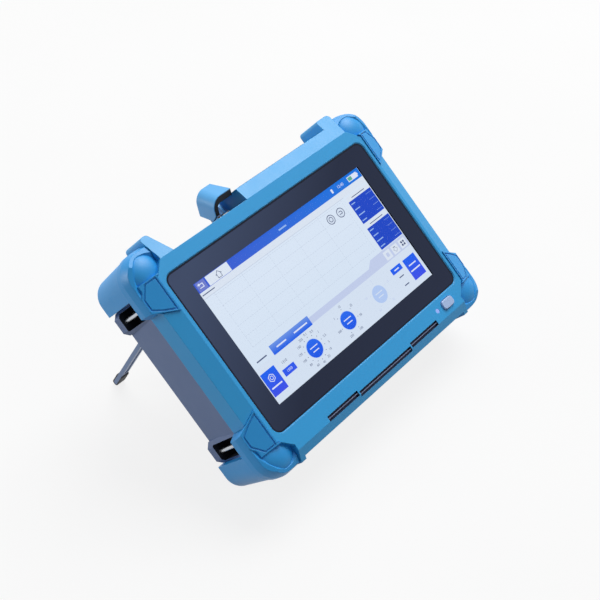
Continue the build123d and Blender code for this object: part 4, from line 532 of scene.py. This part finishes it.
def mesh_of(made: bmesh.types.BMesh, name: str) -> bpy.types.Mesh:
    """Turns a shape under construction into a plain mesh.

    Args:
        made: the shape, which is used up.
        name: the piece.

    Returns:
        The mesh.
    """
    mesh = bpy.data.meshes.new(name)
    made.to_mesh(mesh)
    made.free()
    return mesh


DRESS: dict[Finish, tuple[str, ...]] = {
    Finish.SHELL: ("front_bezel",),
    Finish.BUMPER: tuple(f"corner_bumper_{corner}" for corner in CORNERS),
    Finish.HOUSING: ("rear_housing", "stand_brackets"),
    Finish.DOOR: ("battery_door",),
    Finish.COVER: ("dust_cover",),
    Finish.RUBBER: ("dust_cover_seal", "stand_feet", "glass_gasket"),
    Finish.BLACK: ("port_bay", "battery_pack", "fibre_spool", "speaker"),
    Finish.BUTTON: ("power_button",),
    Finish.STAND: ("stand_legs",),
    Finish.BOARD: ("main_board",),
    Finish.STEEL: (
        "strap_pins", "housing_screws", "board_screws", "stand_shaft", "dust_cover_hinge_pin",
    ),
    Finish.PORT: ("optical_port",),
    Finish.MODULE: ("optical_module",),
    Finish.FERRULE: ("port_ferrule",),
    Finish.LIGHT: ("led_light_pipe",),
    Finish.GLASS: ("touch_glass",),
    Finish.PANEL: ("lcd_module",),
}


@dataclass(frozen=True)
class Zone:
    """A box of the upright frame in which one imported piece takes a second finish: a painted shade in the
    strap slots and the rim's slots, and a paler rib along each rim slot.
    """

    node: str
    finish: Finish
    low: tuple[float, float, float]
    high: tuple[float, float, float]
    slack: float = 0.05

    def holds(self, point: Vector) -> bool:
        """Says whether a point of the upright frame lies in the box."""
        pairs = zip(self.low, point, self.high)
        return all(low - self.slack <= value <= high + self.slack for low, value, high in pairs)

    def dress(self) -> int:
        """Gives the finish to each face that lies wholly in the box.

        Returns:
            How many faces took it.
        """
        mesh = frame["nodes"][self.node].data
        second = material(self.finish)
        if second.name not in mesh.materials:
            mesh.materials.append(second)
        slot = mesh.materials.find(second.name)
        upright = LEAN.matrix.inverted()
        inside = [self.holds(upright @ vertex.co) for vertex in mesh.vertices]
        taken = 0
        for face in mesh.polygons:
            if all(inside[corner] for corner in face.vertices):
                face.material_index = slot
                taken += 1
        return taken


@dataclass
class Casework:
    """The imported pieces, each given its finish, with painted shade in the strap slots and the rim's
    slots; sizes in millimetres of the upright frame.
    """

    pocket_reach: Point = (95.0, 104.95)
    pocket_depth: Point = (17.2, 45.0)
    pocket_height: Point = (42.2, 54.0)
    slot_depth: Point = (-0.75, 1.2)
    slot_width: float = 3.5
    rib_width: float = 0.6
    rib_front: float = -0.1
    rib_clearance: float = 0.1
    side_slot: tuple[float, float, float] = (27.25, 55.75, -68.7)
    middle_slot: tuple[float, float, float] = (-26.15, 26.15, -70.2)

    def dress(self) -> None:
        """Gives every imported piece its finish."""
        for finish, names in DRESS.items():
            for name in names:
                mesh = frame["nodes"][name].data
                mesh.materials.clear()
                mesh.materials.append(material(finish))
                log.info("%s in %s", name, finish.value.name)
        for zone in self.zones():
            log.info("%d faces of %s in %s", zone.dress(), zone.node, zone.finish.value.name)

    def zones(self) -> list[Zone]:
        """Lists the strap slots' insides and the slots in the rim's foot, which take a painted shade, and a
        paler rib along each rim slot.

        Returns:
            The zones, in the order in which they are dressed.
        """
        zones = []
        front, back = self.pocket_depth
        low, high = self.pocket_height
        for side in (-1, 1):
            across = sorted(side * reach for reach in self.pocket_reach)
            for end in (-1, 1):
                along = sorted(end * height for height in (low, high))
                box = ((across[0], front, along[0]), (across[1], back, along[1]))
                # painted shade inside each strap slot
                zones.append(Zone("rear_housing", Finish.HOLLOW, *box))
        near, far, foot = self.side_slot
        rib_depth = (self.rib_front, self.slot_depth[1] - self.rib_clearance)
        for left, right, height in ((-far, -near, foot), (near, far, foot), self.middle_slot):
            # painted shade in each slot of the rim's foot, with a paler rib along it
            for finish, half, depth in (
                (Finish.GROOVE, self.slot_width / 2, self.slot_depth),
                (Finish.GROOVE_RIB, self.rib_width / 2, rib_depth),
            ):
                box = ((left, depth[0], height - half), (right, depth[1], height + half))
                zones.append(Zone("front_bezel", finish, *box))
        return zones


@dataclass
class GlassLip:
    """The sloping edge of the frame, which runs down to the glass all round."""

    foot_inset: float = 0.34
    crest_reach: float = 0.27
    foot_front: float = -0.02
    crest_front: float = -0.77
    arc_steps: int = 12

    def outline(self, reach: float) -> list[Point]:
        """Goes round the glass at a distance outside its edge.

        Args:
            reach: the distance, negative for inside.

        Returns:
            Points anticlockwise, the same number for every distance.
        """
        radius = GLASS_CORNER + reach
        wide, high = (side - GLASS_CORNER for side in GLASS_HALF)
        points = []
        for quarter, (sx, sz) in enumerate(((1, 1), (-1, 1), (-1, -1), (1, -1))):
            for step in range(self.arc_steps + 1):
                turn = math.pi / 2 * (quarter + step / self.arc_steps)
                points.append((sx * wide + radius * math.cos(turn), sz * high + radius * math.sin(turn)))
        return points

    def build(self) -> bpy.types.Object:
        """Makes the lip, closed all round.

        Returns:
            The piece, riding on the instrument.
        """
        made = bmesh.new()
        section = (
            (-self.foot_inset, self.foot_front),
            (self.crest_reach, self.crest_front),
            (self.crest_reach, self.foot_front),
        )
        rings = []
        for reach, front in section:
            rings.append([made.verts.new(LEAN.place(x, front, z)) for x, z in self.outline(reach)])
        for ring, after in zip(rings, rings[1:] + rings[:1]):
            for i, corner in enumerate(ring):
                j = (i + 1) % len(ring)
                made.faces.new((corner, ring[j], after[j], after[i]))
        bmesh.ops.recalc_face_normals(made, faces=made.faces)
        return fix(mesh_of(made, "glass_lip"), (Finish.SHELL,), Finish.SHELL.value.name)


@dataclass
class Cushions:
    """The round pad that swells out of the hollow in each rubber corner."""

    middle: tuple[float, float, float] = (95.2, 9.0, 64.8)
    radii: tuple[float, float, float] = (12.6, 8.3, 12.6)
    around: int = 48
    down: int = 24

    def build(self) -> None:
        """Makes one pad in each corner."""
        for corner, (side, end) in CORNERS.items():
            made = bmesh.new()
            bmesh.ops.create_uvsphere(made, u_segments=self.around, v_segments=self.down, radius=1.0)
            for vertex in made.verts:
                x, y, z = (r * c for r, c in zip(self.radii, vertex.co))
                place = (side * self.middle[0] + x, self.middle[1] + y, end * self.middle[2] + z)
                vertex.co = LEAN.place(*place)
            for face in made.faces:
                face.smooth = True
            bmesh.ops.recalc_face_normals(made, faces=made.faces)
            fix(mesh_of(made, f"corner_pad_{corner}"), (Finish.BUMPER,), Finish.BUMPER.value.name)


# ---- flat artwork under the glass ------------------------------------

# how large the font is set for figures of a height of 1
FONT_PER_FIGURE = 1.4


class Tone(Enum):
    """The colours of the picture."""

    BAR = Ink("bar_blue", srgb(20, 116, 226), srgb(58, 92, 212), (-60.0, 60.0), 0)
    BLUE = Ink("panel_blue", srgb(24, 70, 200))
    BUTTON = Ink("button_blue", srgb(18, 98, 242), srgb(58, 78, 236), (-38.0, -23.0))
    TAB = Ink("tab_blue", srgb(104, 146, 232), srgb(18, 94, 234), (-18.6, -13.0))
    KNOB = Ink("knob_blue", srgb(36, 106, 242), srgb(20, 86, 234), (-36.0, -25.0))
    PALE = Ink("knob_pale", srgb(180, 204, 246))
    BAND = Ink("band_lavender", srgb(196, 208, 238))
    STRIP = Ink("strip_grey", srgb(222, 232, 246))
    WHITE = Ink("ground_white", srgb(216, 229, 246))
    HOME = Ink("tab_white", srgb(224, 234, 247))
    RETURN = Ink("return_grey", srgb(112, 126, 206))
    NAVY = Ink("icon_navy", srgb(34, 46, 98))
    GREY = Ink("label_grey", srgb(78, 90, 128))
    LINE = Ink("grid_grey", srgb(190, 202, 222))
    SOFT = Ink("label_soft", srgb(150, 184, 240))
    LIGHT = Ink("label_light", srgb(224, 232, 252))
    GREEN = Ink("battery_green", srgb(96, 176, 150))
    GLOW = Ink("knob_halo", srgb(176, 204, 250))


@dataclass
class Artwork:
    """Flat shapes at one place of the picture, gathered into one piece; sizes in millimetres."""

    name: str
    tones: list[Tone] = field(default_factory=list)
    faces: list[tuple[list[Point], int, int]] = field(default_factory=list)

    ground: float = 1.27
    layer_step: float = 0.02

    def shape(self, tone: Tone, points: Sequence[Point], layer: int = 1) -> None:
        """Adds one filled outline.

        Args:
            tone: its colour.
            points: its corners, clockwise or not.
            layer: how many steps it lies above the panel.
        """
        if tone not in self.tones:
            self.tones.append(tone)
        self.faces.append((list(points), self.tones.index(tone), layer))

    def bar(self, tone: Tone, left: float, right: float, low: float, high: float, layer: int = 1) -> None:
        """Adds an upright rectangle."""
        self.shape(tone, [(left, low), (right, low), (right, high), (left, high)], layer)

    def disc(self, tone: Tone, x: float, z: float, radius: float, layer: int = 1, sides: int = 40) -> None:
        """Adds a filled circle or a regular polygon."""
        self.shape(tone, ring_points(x, z, radius, sides), layer)

    def ring(self, tone: Tone, x: float, z: float, outer: float, inner: float, layer: int,
             sides: int) -> None:
        """Adds a ring of short straight pieces.

        Args:
            tone: its colour.
            x, z: its middle.
            outer, inner: its two radii.
            layer: how many steps it lies above the panel.
            sides: how many pieces it has.
        """
        far = ring_points(x, z, outer, sides)
        near = ring_points(x, z, inner, sides)
        for i in range(sides):
            j = (i + 1) % sides
            self.shape(tone, [far[i], far[j], near[j], near[i]], layer)

    def stroke(self, tone: Tone, points: Sequence[Point], width: float, layer: int = 2) -> None:
        """Adds a line of even width.

        Args:
            tone: its colour.
            points: the points that it runs through.
            width: from side to side.
            layer: how many steps it lies above the panel.
        """
        for (x0, z0), (x1, z1) in zip(points, points[1:]):
            half = width / 2 / math.hypot(x1 - x0, z1 - z0)
            dx, dz = (x1 - x0) * half, (z1 - z0) * half
            start = [(x0 - dx - dz, z0 - dz + dx), (x0 - dx + dz, z0 - dz - dx)]
            end = [(x1 + dx + dz, z1 + dz - dx), (x1 + dx - dz, z1 + dz + dx)]
            self.shape(tone, start + end, layer)

    def depth(self, layer: int) -> float:
        """How far behind the glass front a layer lies."""
        return self.ground - self.layer_step * layer

    def build(self) -> bpy.types.Object:
        """Makes the piece.

        Returns:
            The piece, riding on the instrument.
        """
        made = bmesh.new()
        for points, tone, layer in self.faces:
            corners = [made.verts.new(LEAN.place(x, self.depth(layer), z)) for x, z in points]
            face = made.faces.new(corners)
            face.material_index = tone
            face.normal_update()
            if face.normal.dot(LEAN.place(0, -1, 0) - LEAN.place(0, 0, 0)) < 0:
                face.normal_flip()
        return fix(mesh_of(made, self.name), self.tones)


def ring_points(x: float, z: float, radius: float, sides: int, start: float = 90.0) -> list[Point]:
    """Points evenly spaced round a circle, from start degrees."""
    angles = [math.radians(start + 360 * i / sides) for i in range(sides)]
    return [(x + radius * math.cos(a), z + radius * math.sin(a)) for a in angles]


def facing(x: float, depth: float, z: float) -> Matrix:
    """Stands a flat shape up behind the front of the glass, with its middle at x and z."""
    return LEAN.matrix @ Matrix.Translation((x, depth, z)) @ Matrix.Rotation(math.pi / 2, 4, "X")


def flatten(holder: bpy.types.Object) -> bpy.types.Mesh:
    """Makes a plain mesh of what an object's curve or modifier gives.

    Args:
        holder: the object, which is used up.

    Returns:
        The mesh.
    """
    bpy.context.view_layer.update()
    mesh = bpy.data.meshes.new_from_object(holder.evaluated_get(bpy.context.evaluated_depsgraph_get()))
    bpy.data.objects.remove(holder)
    return mesh


def numerals(name: str, marks: Sequence[tuple[str, float, float]], height: float, tone: Tone,
             depth: float) -> bpy.types.Object:
    """Sets plain numbers on the display.

    Args:
        name: the piece.
        marks: each number with its middle.
        height: of a figure, in millimetres.
        tone: of the figures.
        depth: behind the glass front.

    Returns:
        One mesh of all the numbers, riding on the instrument.
    """
    made = bmesh.new()
    for text, x, z in marks:
        curve = bpy.data.curves.new(name + "_figures", "FONT")
        curve.body = text
        curve.size = height * FONT_PER_FIGURE
        curve.align_x = "CENTER"
        curve.align_y = "CENTER"
        flat = flatten(add(name + "_figures", curve))
        flat.transform(facing(x, depth, z))
        made.from_mesh(flat)
        bpy.data.curves.remove(curve)
        bpy.data.meshes.remove(flat)
    return fix(mesh_of(made, name), (tone,))


# ---- patterns made by geometry nodes ---------------------------------


class Pattern:
    """A geometry node tree with named sizes, turned into a plain piece."""

    def __init__(self, name: str, sizes: dict[str, float]) -> None:
        """Starts the tree.

        Args:
            name: the piece.
            sizes: its named inputs, in millimetres or counts.
        """
        self.name = name
        self.sizes = sizes
        self.tree = bpy.data.node_groups.new(name, "GeometryNodeTree")
        self.tree.interface.new_socket("Geometry", in_out="OUTPUT", socket_type="NodeSocketGeometry")
        for key, value in sizes.items():
            kind = "NodeSocketInt" if isinstance(value, int) else "NodeSocketFloat"
            self.tree.interface.new_socket(key, in_out="INPUT", socket_type=kind)
        self.entry = self.tree.nodes.new("NodeGroupInput")
        self.exit = self.tree.nodes.new("NodeGroupOutput")

    def node(self, kind: str, settings: dict[str, Any], inputs: dict[Any, Any]) -> bpy.types.Node:
        """Adds a node.

        Args:
            kind: the node's type.
            settings: its properties, set first.
            inputs: for its sockets a value, a link, or the name of one of the tree's sizes.

        Returns:
            The node.
        """
        made = self.tree.nodes.new(kind)
        for key, value in settings.items():
            setattr(made, key, value)
        for key, value in inputs.items():
            if isinstance(value, str):
                self.tree.links.new(self.entry.outputs[value], made.inputs[key])
            elif isinstance(value, bpy.types.NodeSocket):
                self.tree.links.new(value, made.inputs[key])
            else:
                made.inputs[key].default_value = value
        return made

    def build(self, geometry: bpy.types.NodeSocket, tone: Tone, place: Matrix) -> bpy.types.Object:
        """Ends the tree, runs it and makes its result a plain mesh.

        Args:
            geometry: what the tree has made.
            tone: its colour.
            place: from the pattern's own frame to the row frame.

        Returns:
            The piece, riding on the instrument.
        """
        real = self.node("GeometryNodeRealizeInstances", {}, {"Geometry": geometry})
        inputs = {"Geometry": real.outputs[0], "Material": material(tone)}
        painted = self.node("GeometryNodeSetMaterial", {}, inputs)
        self.tree.links.new(painted.outputs[0], self.exit.inputs[0])
        holder = add(self.name + "_seed", bpy.data.meshes.new(self.name + "_seed"))
        modifier = holder.modifiers.new("pattern", "NODES")
        modifier.node_group = self.tree
        for item in self.tree.interface.items_tree:
            if item.in_out == "INPUT" and item.name in self.sizes:
                modifier[item.identifier] = self.sizes[item.name]
        mesh = flatten(holder)
        mesh.name = self.name
        mesh.transform(place)
        mesh.materials.clear()
        return fix(mesh, (tone,))


def dot_ring(name: str, x: float, z: float, radius: float, count: int, dot: float, depth: float,
             tone: Tone) -> bpy.types.Object:
    """Dots evenly spaced round a knob.

    Args:
        name: the piece.
        x, z: the knob's middle.
        radius: of the ring of dots.
        count: of dots.
        dot: a dot's radius.
        depth: behind the glass front.
        tone: of the dots.

    Returns:
        The piece.
    """
    sizes = {"Ring radius": radius, "Dots": count, "Dot radius": dot, "Dot sides": 10}
    pattern = Pattern(name, sizes)
    ring = pattern.node("GeometryNodeMeshCircle", {}, {"Vertices": "Dots", "Radius": "Ring radius"})
    round_dot = {"Vertices": "Dot sides", "Radius": "Dot radius"}
    spot = pattern.node("GeometryNodeMeshCircle", {"fill_type": "NGON"}, round_dot)
    each = {"Points": ring.outputs[0], "Instance": spot.outputs[0]}
    spread = pattern.node("GeometryNodeInstanceOnPoints", {}, each)
    first_dot_up = Matrix.Rotation(math.pi / 2, 4, "Z")
    return pattern.build(spread.outputs[0], tone, facing(x, depth, z) @ first_dot_up)


def dashed_lines(name: str, start: tuple[float, float, float], count: int, step: Point, dashes: int,
                 pitch: float, dash: Point, tone: Tone) -> bpy.types.Object:
    """Parallel dashed lines across the chart.

    Args:
        name: the piece.
        start: x, z and depth of the first dash's middle.
        count: of lines.
        step: from one line to the next, in x and z.
        dashes: on a line.
        pitch: from one dash to the next.
        dash: a dash's width and height.
        tone: of the dashes.

    Returns:
        The piece.
    """
    sizes = {"Lines": count, "Line step x": step[0], "Line step z": step[1], "Dashes": dashes,
             "Pitch": pitch, "Dash width": dash[0], "Dash height": dash[1]}
    pattern = Pattern(name, sizes)
    lines_offset = pattern.node("ShaderNodeCombineXYZ", {}, {0: "Line step x", 1: "Line step z"})
    lines = pattern.node("GeometryNodeMeshLine", {}, {"Count": "Lines", "Offset": lines_offset.outputs[0]})
    upright = dash[1] > dash[0]
    along = pattern.node("ShaderNodeCombineXYZ", {}, {1 if upright else 0: "Pitch"})
    row = pattern.node("GeometryNodeMeshLine", {}, {"Count": "Dashes", "Offset": along.outputs[0]})
    flat = {"Size X": "Dash width", "Size Y": "Dash height", "Vertices X": 2, "Vertices Y": 2}
    spot = pattern.node("GeometryNodeMeshGrid", {}, flat)
    each = {"Points": row.outputs[0], "Instance": spot.outputs[0]}
    dashed = pattern.node("GeometryNodeInstanceOnPoints", {}, each)
    every = {"Points": lines.outputs[0], "Instance": dashed.outputs[0]}
    all_lines = pattern.node("GeometryNodeInstanceOnPoints", {}, every)
    x, z, depth = start
    return pattern.build(all_lines.outputs[0], tone, facing(x, depth, z))


# ---- the picture -----------------------------------------------------


@dataclass
class Dial:
    """One round knob of the picture, with its dots and numbers and two bars for its label."""

    name: str
    x: float
    marks: tuple[str, ...]
    z: float = -30.9
    radius: float = 5.9
    halo: float = 0.35
    label: tuple[tuple[float, float, float], ...] = ((3.4, 0.9, 1.5), (2.6, -1.8, -1.2))
    dots_radius: float = 8.0
    dot: float = 0.28
    reach: Point = (11.6, 10.2)
    figure: float = 1.55
    knob: Tone = Tone.KNOB
    ink: Tone = Tone.GREY

    def build(self) -> None:
        """Draws the knob, the two bars of its label, its dots and its numbers."""
        art = Artwork(self.name)
        bright = self.knob is Tone.KNOB
        if bright:
            art.disc(Tone.GLOW, self.x, self.z, self.radius + self.halo, 1)
        art.disc(self.knob, self.x, self.z, self.radius, 2)
        for half, low, high in self.label:
            tone = Tone.LIGHT if bright else Tone.WHITE
            art.bar(tone, self.x - half, self.x + half, self.z + low, self.z + high, 3)
        art.build()
        count = len(self.marks)
        depth = art.depth(4)
        dot_ring(self.name + "_dots", self.x, self.z, self.dots_radius, count, self.dot, depth, self.ink)
        places = []
        for i, mark in enumerate(self.marks):
            turn = math.radians(90 - 360 * i / count)
            x, z = (reach * part for reach, part in zip(self.reach, (math.cos(turn), math.sin(turn))))
            places.append((mark, self.x + x, self.z + z))
        numerals(self.name + "_numbers", places, self.figure, self.ink, depth)


@dataclass
class Picture:
    """What the display shows: a header, a chart, two tables, tabs, dials and buttons, with no words."""

    half_width: float = SCREEN[0] / 2
    half_height: float = SCREEN[1] / 2
    header_low: float = 36.3
    strip_low: float = 32.0
    table_left: float = 54.4
    table_rows: int = 4

    def header(self) -> None:
        """The blue bar along the top, its home tab and its battery sign."""
        art = Artwork("screen_header")
        art.bar(Tone.BAR, -self.half_width, self.half_width, self.header_low, self.half_height, 1)
        art.bar(Tone.RETURN, -75.4, -68.4, self.header_low + 0.4, self.half_height - 0.3, 2)
        art.stroke(Tone.LIGHT, [(-73.6, 38.6), (-70.6, 38.6), (-70.6, 40.8), (-73.2, 40.8)], 0.5, 3)
        art.shape(Tone.LIGHT, [(-74.6, 40.8), (-73.0, 41.8), (-73.0, 39.8)], 3)
        art.bar(Tone.HOME, -67.1, -48.4, self.header_low + 0.2, self.half_height - 0.3, 2)
        art.stroke(Tone.GREY, [(-59.9, 39.3), (-57.6, 41.6), (-55.3, 39.3)], 0.35, 3)
        art.stroke(Tone.GREY, [(-59.1, 39.6), (-59.1, 37.3), (-56.1, 37.3), (-56.1, 39.6)], 0.35, 3)
        art.bar(Tone.SOFT, -3.6, 3.4, 38.9, 39.9, 2)
        art.bar(Tone.LIGHT, 47.9, 49.5, 38.2, 41.0, 2)
        art.bar(Tone.LIGHT, 64.7, 74.2, 37.8, 41.3, 2)
        art.bar(Tone.LIGHT, 74.2, 74.9, 38.9, 40.2, 2)
        art.bar(Tone.GREEN, 65.2, 68.8, 38.3, 40.8, 3)
        art.build()
        numerals("screen_clock", [("12:40", 56.9, 39.5)], 2.0, Tone.LIGHT, art.depth(4))

    def chart(self) -> None:
        """The strip under the header and the empty chart with its dashed grid."""
        art = Artwork("screen_chart")
        art.bar(Tone.STRIP, -self.half_width, self.half_width, self.strip_low, self.header_low, 1)
        art.bar(Tone.LINE, -self.half_width, 53.0, self.strip_low - 0.15, self.strip_low + 0.1, 2)
        art.bar(Tone.GREY, -75.6, -65.4, 34.0, 34.6, 2)
        for x, arrow in ((34.7, False), (44.4, True)):
            art.disc(Tone.WHITE, x, 25.5, 3.3, 1)
            art.ring(Tone.NAVY, x, 25.5, 3.3, 2.85, 2, 36)
            if arrow:
                bend = [(x - 1.3, 24.6), (x + 1.0, 24.6), (x + 1.3, 25.6), (x + 0.6, 26.4)]
                art.stroke(Tone.NAVY, bend, 0.4, 3)
                art.stroke(Tone.NAVY, [(x + 0.6, 26.4), (x - 1.2, 26.4)], 0.4, 3)
            else:
                art.ring(Tone.NAVY, x, 25.5, 1.75, 1.35, 3, 24)
        art.build()
        for name, start, step, dashes, dash in (
            ("screen_grid_rows", (-67.6, -7.0), (0.0, 7.5), 56, (1.3, 0.18)),
            ("screen_grid_columns", (-68.0, -6.6), (23.6, 0.0), 19, (0.18, 1.3)),
        ):
            dashed_lines(name, (*start, art.depth(2)), 6, step, dashes, 2.1, dash, Tone.LINE)

    def tables(self) -> None:
        """Two blue tables of four rows at the right, each under a pale title strip."""
        art = Artwork("screen_tables")
        for low, high in ((10.7, 27.5), (-9.7, 6.8)):
            art.bar(Tone.STRIP, self.table_left, 76.9, high, high + 3.2, 1)
            art.bar(Tone.GREY, self.table_left + 4.6, 72.0, high + 1.3, high + 1.8, 2)
            art.bar(Tone.BLUE, self.table_left, 76.7, low, high, 1)
            for row in range(self.table_rows):
                middle = high - (row + 0.5) * (high - low) / self.table_rows - 0.1
                art.bar(Tone.SOFT, 55.4, 59.2 + (row * 7 % 5) * 0.6, middle - 0.35, middle + 0.35, 2)
                for dash in range(4):
                    left = 70.6 + dash * 1.35
                    art.bar(Tone.SOFT, left, left + 0.85, middle - 0.14, middle + 0.14, 2)
        art.build()

    def tabs(self) -> None:
        """The lavender band, its three small icon cells, and the row of two tabs."""
        art = Artwork("screen_tabs")
        art.bar(Tone.WHITE, -self.half_width, self.half_width, -self.half_height, -18.4, 1)
        band = [(-23.8, -14.2), (-23.8, -18.4), (76.9, -18.4), (76.9, -10.2), (41.5, -10.2), (36.5, -14.2)]
        art.shape(Tone.BAND, band, 1)
        art.bar(Tone.GREY, -72.2, -63.6, -16.2, -15.4, 2)
        art.bar(Tone.TAB, -59.1, -23.8, -18.9, -12.5, 2)
        art.bar(Tone.LIGHT, -54.6, -46.0, -16.2, -15.3, 3)
        art.bar(Tone.LIGHT, -38.8, -26.6, -16.2, -15.3, 3)
        for i, left in enumerate((53.2, 61.2, 69.2)):
            art.bar(Tone.STRIP, left, left + 6.2, -17.6, -11.6, 2)
            if i == 0:
                art.bar(Tone.BAND, left + 1.8, left + 4.4, -16.0, -13.2, 3)
            elif i == 1:
                art.ring(Tone.GREY, left + 3.1, -14.8, 1.9, 1.6, 3, 4)
                art.stroke(Tone.GREY, [(left + 1.8, -13.0), (left + 3.6, -13.0)], 0.35, 3)
            else:
                for dx in (0.0, 2.0):
                    for dz in (0.0, 2.0):
                        art.bar(Tone.GREY, left + 1.5 + dx, left + 2.9 + dx, -16.3 + dz, -14.9 + dz, 3)
        art.build()

    def buttons(self) -> None:
        """The blue setting and start buttons and the small tags beside them."""
        art = Artwork("screen_buttons")
        art.bar(Tone.BUTTON, -75.8, -63.8, -38.4, -22.8, 2)
        art.ring(Tone.LIGHT, -69.9, -28.1, 2.7, 2.2, 3, 6)
        art.ring(Tone.LIGHT, -69.9, -28.1, 1.3, 0.9, 3, 20)
        art.bar(Tone.LIGHT, -74.2, -65.4, -34.0, -33.1, 3)
        art.bar(Tone.BUTTON, 62.9, 74.8, -39.0, -23.6, 2)
        art.bar(Tone.LIGHT, 65.2, 72.4, -29.4, -28.6, 3)
        art.bar(Tone.LIGHT, 64.0, 73.6, -33.3, -32.4, 3)
        art.bar(Tone.BUTTON, -61.3, -51.0, -33.2, -28.7, 2)
        art.bar(Tone.BUTTON, 50.0, 60.2, -27.4, -23.3, 2)
        art.bar(Tone.LIGHT, 52.8, 57.4, -25.8, -25.0, 3)
        art.bar(Tone.GREY, 53.0, 57.6, -31.4, -30.7, 2)
        art.bar(Tone.GREY, 53.0, 57.4, -37.6, -36.9, 2)
        art.build()
        numerals("screen_choice", [("1310", -56.2, -25.2)], 1.7, Tone.GREY, art.depth(4))
        numerals("screen_chosen", [("1550", -56.2, -30.9)], 1.7, Tone.LIGHT, art.depth(4))

    def dials(self) -> None:
        """Three round knobs; the third is shown pale."""
        ranges = ("0.1", "0.5", "1", "2.5", "5", "10", "20", "40", "60", "80", "100", "120", "150", "250")
        Dial("dial_range", -32.8, ranges).build()
        Dial("dial_pulse", -0.1, ("10", "25", "50", "100", "250", "500", "1"), reach=(10.6, 10.0)).build()
        Dial("dial_time", 32.1, ("5", "15", "30", "60", "90"), knob=Tone.PALE, ink=Tone.BAND).build()

    def build(self) -> None:
        """Draws the whole picture."""
        self.header()
        self.chart()
        self.tables()
        self.tabs()
        self.buttons()
        self.dials()


# ---- studio ----------------------------------------------------------


def face(thing: bpy.types.Object, place: Vector, aim: Vector) -> None:
    """Puts a lamp or the camera at a place, turned to a point."""
    thing.location = place
    thing.rotation_euler = (aim - place).to_track_quat("-Z", "Y").to_euler()


@dataclass(frozen=True)
class Lamp:
    """A soft square lamp, aimed at the middle of the instrument; its place and size are in metres."""

    name: str
    place: tuple[float, float, float]
    size: float
    power: float
    colour: Colour = (1.0, 1.0, 1.0)

    def build(self, aim: Vector) -> None:
        """Hangs the lamp.

        Args:
            aim: the point that it faces.
        """
        data = bpy.data.lights.new(self.name, "AREA")
        data.size = self.size
        data.energy = self.power
        data.color = self.colour
        face(add(self.name, data), Vector(self.place), aim)


@dataclass
class Studio:
    """A pale floor, a white surround, soft lamps and the camera."""

    camera_mm: tuple[float, float, float] = (-439.24, -592.07, 45.05)
    aim_mm: tuple[float, float, float] = (-21.89, 0.0, -2.30)
    lens: float = 71.836
    sensor: float = 36.0
    nearest: float = 0.05
    lamp_aim_mm: tuple[float, float, float] = (0.0, 20.0, 0.0)
    floor_half: float = 3.0
    floor_drop: float = 0.0002
    floor_scale: float = 3.0
    floor_tones: Point = (0.93, 0.97)
    floor_glow: float = 0.88
    ambient: float = 0.2
    bounce: float = 0.36
    lamps: tuple[Lamp, ...] = (
        Lamp("overhead_lamp", (1.1, 0.12, 2.0), 1.5, 48.0),
        Lamp("back_lamp", (0.5, 1.25, 1.7), 0.9, 8.0),
        Lamp("side_lamp", (-1.3, 1.3, 0.1), 0.8, 17.0),
    )

    def floor(self) -> None:
        """Lays the floor."""
        h = self.floor_half
        corners = [(x, y, -self.floor_drop) for x, y in ((-h, -h), (h, -h), (h, h), (-h, h))]
        mesh = bpy.data.meshes.new("studio_floor")
        mesh.from_pydata(corners, [], [(0, 1, 2, 3)])
        shader = Shader("floor_white")
        point = shader.node("ShaderNodeTexCoord", {}, {}, "Object")
        low, high = ((level,) * 3 for level in self.floor_tones)
        tone = shader.blend(shader.noise(point, self.floor_scale), low, high)
        pale = shader.node("ShaderNodeBsdfDiffuse", {}, {"Color": tone})
        glow = shader.node("ShaderNodeEmission", {}, {"Color": tone, "Strength": 1.0})
        shown = shader.node("ShaderNodeMixShader", {}, {0: self.floor_glow, 1: pale, 2: glow})
        dim = shader.node("ShaderNodeBsdfDiffuse", {}, {"Color": (self.bounce,) * 3 + (1.0,)})
        surface = shader.node("ShaderNodeMixShader", {}, {0: self.seen(shader), 1: dim, 2: shown})
        mesh.materials.append(shader.finish(surface))
        add("studio_floor", mesh)

    @staticmethod
    def seen(shader: Shader) -> Value:
        """Tells what is looked at from what lights the object.

        Args:
            shader: where the nodes are added.

        Returns:
            1 for a ray from the camera, off a gloss or through glass, and 0 for any other.
        """
        ways = shader.node("ShaderNodeLightPath", {}, {}, "Is Camera Ray")
        outputs = ways.socket.node.outputs
        gloss, through = (Value(shader, outputs[name]) for name in ("Is Glossy Ray", "Is Transmission Ray"))
        return ways.largest(gloss).largest(through)

    def surround(self) -> None:
        """Fills the world: white where it is seen, softer as light."""
        world = bpy.data.worlds.new("studio_world")
        world.use_nodes = True
        shader = Shader.on_tree(world.node_tree)
        level = self.ambient + (1.0 - self.ambient) * self.seen(shader)
        light = shader.node("ShaderNodeBackground", {}, {"Color": (1.0, 1.0, 1.0, 1.0), "Strength": level})
        shader.node("ShaderNodeOutputWorld", {}, {"Surface": light})
        bpy.context.scene.world = world

    def camera(self) -> None:
        """Sets the camera in front of the glass and to its left, aimed at it."""
        data = bpy.data.cameras.new("studio_camera")
        data.lens = self.lens
        data.sensor_width = self.sensor
        data.clip_start = self.nearest
        camera = add("studio_camera", data)
        face(camera, LEAN.place(*self.camera_mm), LEAN.place(*self.aim_mm))
        bpy.context.scene.camera = camera

    def build(self) -> None:
        """Sets up the whole studio."""
        self.floor()
        self.surround()
        for lamp in self.lamps:
            lamp.build(LEAN.place(*self.lamp_aim_mm))
        self.camera()
        bpy.context.scene.view_settings.view_transform = "Standard"


def main() -> None:
    """Builds every class in order."""
    logging.basicConfig(level=logging.INFO, format="%(message)s")
    Casework().dress()
    GlassLip().build()
    Cushions().build()
    Picture().build()
    Studio().build()


if __name__ == "__main__":
    main()
